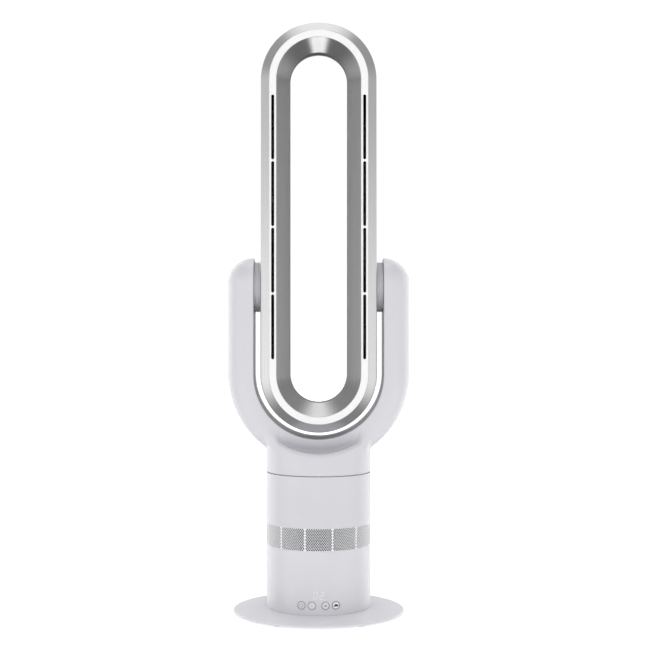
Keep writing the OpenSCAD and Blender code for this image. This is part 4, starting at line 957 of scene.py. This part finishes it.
# Pivots
# Hollow grey trunnions on both sides of the loop turn in nylon bushes in the yoke's cheeks. Only
# their grooved collars show, between the loop and the yoke.
collar_plastic = moulded_plastic("collar_plastic", (0.50, 0.498, 0.522), 0.38)
collar_r = (collar_high.z - collar_low.z) / 2
collar_start = loop_r + fit_gap
collar_l = fork_in_r - 2 * fit_gap - collar_start
journal_r, bore_r = 0.0276, 0.0236
journal_l = collar_high.x - collar_start
bevel_w, bevel_l, groove, belt_sunk = 0.0008, 0.0007, 0.0009, 0.0002
groove_edge, journal_edge = 0.00015, 0.0004
groove_r, belt_r = collar_r - groove, collar_r - belt_sunk
collar_corners = [
    (bore_r, 0.0, sharp_edge), (collar_r - bevel_w, 0.0, moulded_edge), (collar_r, bevel_l, moulded_edge),
    (collar_r, collar_l * 0.20, groove_edge), (groove_r, collar_l * 0.24, groove_edge),
    (groove_r, collar_l * 0.36, groove_edge), (belt_r, collar_l * 0.40, moulded_edge),
    (belt_r, collar_l * 0.62, moulded_edge), (groove_r, collar_l * 0.66, groove_edge),
    (groove_r, collar_l * 0.78, groove_edge), (collar_r, collar_l * 0.82, groove_edge),
    (collar_r, collar_l - bevel_l, moulded_edge), (collar_r - bevel_w, collar_l, moulded_edge),
    (journal_r, collar_l, moulded_edge), (journal_r, journal_l, journal_edge),
    (bore_r, journal_l, moulded_edge),
]
for name, side in (("left_trunnion", -1), ("right_trunnion", 1)):
    angles = [side * 2 * math.pi * k / round_steps for k in range(round_steps)]
    stations = [((side * collar_start, 0, pivot_z), (0, math.cos(a), math.sin(a)), (side, 0, 0))
                for a in angles]
    trunnion = swept(name, stations, rounded_outline(collar_corners), collar_plastic)
    fit_in(trunnion, "loop", "collar_grey", name)
dress(natural_nylon, "pivot_bushes")
dress(bright_steel, "trunnion_washers", "trunnion_clips")


# Loop shell
# The back of the air loop: one long channel moulded in pale plastic, closed in front by the metal
# bezels. Eight screws from behind, in deep round recesses, pull them together.
bend_steps = 72
side_steps = 24
opening_r = 0.040
band_in_r, band_out_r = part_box("inner_bezel")[1].x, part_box("outlet_frame")[1].x
loop_front, loop_back = -loop_low.y, -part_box("loop_rear_shell")[1].y
outer_bevel_w, outer_bevel_depth = loop_r - band_out_r, 0.007
inner_bevel_depth = 0.020
shell_wall = 0.0024
back_round, inside_round = 0.009, 0.004
bezel_skirt = 0.0028
wall_straight = 0.025
sweep_start = loop_front - inner_bevel_depth - wall_straight
sweep_r, sweep_round = 0.075, 0.0004
inside_stop, inside_lead, edge_step = 0.002, 0.001, 0.001
edge_depth, edge_w, edge_arc = 0.0012, 0.0028, 0.0022
sleeve_r, sleeve_foot = 0.004, 0.0041


def loop_stations():
    """Stations round the loop, from the top centre, and their distance from it on either side."""
    quarter = math.pi / 2
    bend = [quarter * k / bend_steps for k in range(bend_steps)]
    falls = [(arc_high_z - arc_low_z) * k / side_steps for k in range(side_steps)]
    turns = ([(a, arc_high_z) for a in bend]
             + [(quarter, arc_high_z - fall) for fall in falls]
             + [(quarter + a, arc_low_z) for a in bend]
             + [(2 * quarter + a, arc_low_z) for a in bend]
             + [(3 * quarter, arc_low_z + fall) for fall in falls]
             + [(3 * quarter + a, arc_high_z) for a in bend])
    places = [(z, Vector((-math.sin(a), 0, math.cos(a)))) for a, z in turns]
    spots = [Vector((0, 0, z)) + u * (opening_r + loop_r) / 2 for z, u in places]
    distances = [0.0]
    for first, second in zip(spots, spots[1:] + spots[:1]):
        distances.append(distances[-1] + (second - first).length)
    whole = distances[-1]
    stations = [((0, 0, z), tuple(u), (0, -1, 0)) for z, u in places]
    return stations, np.array([min(d, whole - d) for d in distances])


stations, along_loop = loop_stations()


def round_the_loop(name, corners, material):
    """Sweeps a section of (distance from the middle line, towards the front, rounding) corners."""
    return swept(name, stations, rounded_outline(corners), material, along_loop)


def back_curve(radius, start_y, end_y, inset, parts=14):
    """Points of the long curve that opens the inner wall towards the back, set in by inset."""
    r = radius - inset
    end_angle = math.asin((start_y - end_y) / r)
    return [(opening_r + radius - r * math.cos(end_angle * k / parts),
             start_y - r * math.sin(end_angle * k / parts), sweep_round) for k in range(parts + 1)]


shell_edge = loop_front - inner_bevel_depth - edge_step
skirt_end = loop_front - outer_bevel_depth - bezel_skirt
inner_back = loop_back + shell_wall
inner_curve = back_curve(sweep_r, sweep_start, inner_back + inside_stop, shell_wall)
outer_curve = back_curve(sweep_r, sweep_start, loop_back + edge_depth, 0)
shell_corners = (
    [(loop_r, skirt_end, sharp_edge), (loop_r - shell_wall, skirt_end, sharp_edge),
     (loop_r - shell_wall, loop_back + back_round, inside_round),
     (loop_r - back_round, inner_back, inside_round),
     (inner_curve[-1][0] + inside_lead, inner_back, inside_lead)]
    + inner_curve[::-1]
    + [(opening_r + shell_wall, shell_edge, sharp_edge), (opening_r, shell_edge, sharp_edge)]
    + outer_curve
    + [(outer_curve[-1][0] + edge_w, loop_back, edge_arc), (loop_r, loop_back, back_round)]
)
loop_plastic = moulded_plastic("loop_plastic", (0.69, 0.688, 0.71), 0.3)
loop_rear_shell = round_the_loop("loop_rear_shell", shell_corners, loop_plastic)
loop_screw_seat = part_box("loop_screws")[1].y
cut_away(loop_rear_shell, *screw_holes("loop_screws", loop_screw_seat, column_r))


def wall_middle(x, z):
    """Depth at which the shell's wall is half way through, behind a place on its back."""
    reach = math.hypot(x, max(z - arc_high_z, 0) + min(z - arc_low_z, 0))
    flat = loop_back + shell_wall / 2
    curve = -sweep_start + math.sqrt(max((sweep_r - shell_wall / 2) ** 2
                                         - (opening_r + sweep_r - reach) ** 2, 0))
    return min(-flat, curve)


def sleeve(name, x, z):
    """Moulded tube in which a loop screw's head sits, from its seat to the shell's wall."""
    rings = []
    for radius in (sleeve_r, screw_hole_r):
        circle = [(x + dx, z + dz) for dx, dz in circle_points(0, 0, radius)]
        rings.append([(a, loop_screw_seat - sleeve_foot, b) for a, b in circle])
        rings.append([(a, wall_middle(a, b), b) for a, b in circle])
    points = sum(rings, [])
    faces = [(a * sign_steps + k, b * sign_steps + k,
              b * sign_steps + (k + 1) % sign_steps, a * sign_steps + (k + 1) % sign_steps)
             for a, b in ((0, 1), (1, 3), (3, 2), (2, 0)) for k in range(sign_steps)]
    return new_piece(name, points, faces, loop_plastic)


loop_rear_shell = joined("loop_rear_shell", [loop_rear_shell] + [
    sleeve(f"sleeve_{i}", x, z) for i, (x, z) in enumerate(screw_spots("loop_screws"))])
fit_in(loop_rear_shell, "loop", "loop_shell", "loop_rear_shell")
dress(bright_steel, "loop_screws")


# Outer bezel
# The silver frame round the loop's front: a sheet-metal band, brushed along the loop, with a
# shallow outward bevel and a bright turned-down rim.
bezel_t = 0.0022
rim_w, rim_depth, rim_edge, rim_crease = 0.0010, 0.00072, 0.0006, 0.0005


def brushed_metal(name, colour, roughness, streak, depth, spread=0.85):
    """Metal brushed along the loop: fine streaks in shade and gloss, and a highlight spread across them."""
    def build(add):
        grain = add("UVMap", uv_map="grain").outputs[0]

        def streaks(across, along, detail):
            stretch = add("Mapping", {"Vector": grain, "Scale": (across, along, 1)})
            return add("TexNoise", {"Vector": stretch.outputs[0], "Scale": 1.0, "Detail": detail},
                       noise_dimensions="2D").outputs["Fac"]

        broad = streaks(900, 9, 4)
        gloss = add("MapRange", {"Value": streaks(4200, 22, 3), "To Min": roughness * 0.8,
                                 "To Max": roughness * 1.2})
        bump = add("Bump", {"Height": broad, "Strength": depth, "Distance": 0.0001})
        tangent = add("Tangent", direction_type="UV_MAP", uv_map="grain")
        return {"Metallic": 1.0, "Anisotropic": spread, "Tangent": tangent.outputs[0],
                "Base Color": shades(add, broad, [c * (1 - streak) for c in colour],
                                     [c * (1 + streak) for c in colour], 0.25, 0.75),
                "Roughness": gloss.outputs["Result"], "Normal": bump.outputs["Normal"]}

    return finished(name, build)


silver = brushed_metal("silver", (0.76, 0.76, 0.765), 0.21, 0.05, 0.06)
bevel_slope = outer_bevel_depth / outer_bevel_w
bevel_foot = loop_front - outer_bevel_depth
outer_bezel = round_the_loop("outer_bezel", [
    (loop_r, skirt_end, sharp_edge),
    (loop_r, bevel_foot - rim_depth, rim_edge),
    (loop_r - rim_w, bevel_foot + rim_w * bevel_slope, rim_crease),
    (band_out_r, loop_front, moulded_edge),
    (band_out_r, loop_front - bezel_t, sharp_edge),
    (loop_r - bezel_t, bevel_foot - bezel_t, moulded_edge),
    (loop_r - bezel_t, skirt_end, sharp_edge),
], silver)
fit_in(outer_bezel, "loop", "silver_trim", "outer_bezel")


# Outlet frame
# The pale satin band between the two bezels. Its eight long slots, four on each side, let the air
# out; black nozzle channels with small ribs sit behind them.
band_sunk = 0.0004
frame_leg, frame_leg_t = 0.007, 0.0012
slot_w, slot_l, slot_gap, slot_count = 0.0042, 0.0888, 0.0025, 4
slot_cut, slot_steps = 0.010, 17
band_mid_r = (band_in_r + band_out_r) / 2
satin = moulded_plastic("satin", (0.92, 0.92, 0.915), 0.4, grain=0.02)
nozzle_black = moulded_plastic("nozzle_black", (0.006, 0.006, 0.006), 0.6)
band_front = loop_front - band_sunk
leg_end, sheet_back = band_front - frame_leg, band_front - bezel_t
leg_in_r, leg_out_r = band_in_r + frame_leg_t, band_out_r - frame_leg_t
outlet_frame = round_the_loop("outlet_frame", [
    (band_out_r, leg_end, sharp_edge), (band_out_r, band_front, moulded_edge),
    (band_in_r, band_front, moulded_edge), (band_in_r, leg_end, sharp_edge),
    (leg_in_r, leg_end, sharp_edge), (leg_in_r, sheet_back, sharp_edge),
    (leg_out_r, sheet_back, sharp_edge), (leg_out_r, leg_end, sharp_edge),
], satin)


def slot_cutter(name, x, z):
    """A long round-ended bar that cuts one slot, upwards from z."""
    r = slot_w / 2
    outline = [(x + turn * r * math.cos(a), z + slot_l / 2 + turn * (slot_l / 2 - r + r * math.sin(a)))
               for turn in (1, -1) for a in np.linspace(0, math.pi, slot_steps)]
    count = len(outline)
    points = [(a, y, b) for y in (-loop_front - slot_cut, -loop_front + slot_cut) for a, b in outline]
    faces = [tuple(range(count)), tuple(reversed(range(count, 2 * count)))]
    faces += [(count + k, count + (k + 1) % count, (k + 1) % count, k) for k in range(count)]
    return new_piece(name, points, faces, None)


slots_l = slot_count * slot_l + (slot_count - 1) * slot_gap
slots_z = (arc_low_z + arc_high_z - slots_l) / 2
cut_away(outlet_frame, *[
    slot_cutter(f"slot_{side}_{i}", side * band_mid_r, slots_z + i * (slot_l + slot_gap))
    for side in (-1, 1) for i in range(slot_count)])
settle_normals(outlet_frame, lambda points: np.tile((0.0, -1.0, 0.0), (len(points), 1)))
fit_in(outlet_frame, "loop", "pale_trim", "outlet_frame")
dress(nozzle_black, "left_nozzle", "right_nozzle")


# Inner bezel
# The dark silver funnel round the open middle: sheet metal brushed along the loop, steep, with a
# rolled edge and a near-black lip, painted shade for the shadowed wall, over the shell's straight part.
wall_lip, rolled_edge = 0.0225, 0.0022
lip_t, lip_gap, lip_edge = 0.0006, 0.00005, 0.00003
dark_silver = brushed_metal("dark_silver", (0.52, 0.52, 0.525), 0.30, 0.06, 0.08)
# Near-black plastic for the lip: painted shade where the shell's inner wall lies in shadow.
lip_painted_shade = moulded_plastic("lip_painted_shade", (0.07, 0.07, 0.073), 0.6)
slope = inner_bevel_depth / (band_in_r - opening_r)
drop = bezel_t * math.sqrt(1 + slope ** 2)
bevel_end = loop_front - inner_bevel_depth
inner_bezel = round_the_loop("inner_bezel", [
    (opening_r + shell_wall, shell_edge, sharp_edge),
    (opening_r + shell_wall, bevel_end + slope * shell_wall - drop, moulded_edge),
    (band_in_r, loop_front - drop, moulded_edge),
    (band_in_r, loop_front, moulded_edge),
    (opening_r - lip_t, bevel_end, rolled_edge),
    (opening_r - lip_t, bevel_end - wall_lip, sharp_edge),
    (opening_r - lip_gap, bevel_end - wall_lip, hairline),
    (opening_r - lip_gap, shell_edge, lip_edge),
], dark_silver)
# The lip's faces take the near-black plastic: painted shade over the shadowed inner wall.
inner_bezel.data.materials.append(lip_painted_shade)
for face in inner_bezel.data.polygons:
    if face.center.y > -bevel_end - lip_gap * 2:
        face.material_index = 1
fit_in(inner_bezel, "loop", "dark_trim", "inner_bezel")
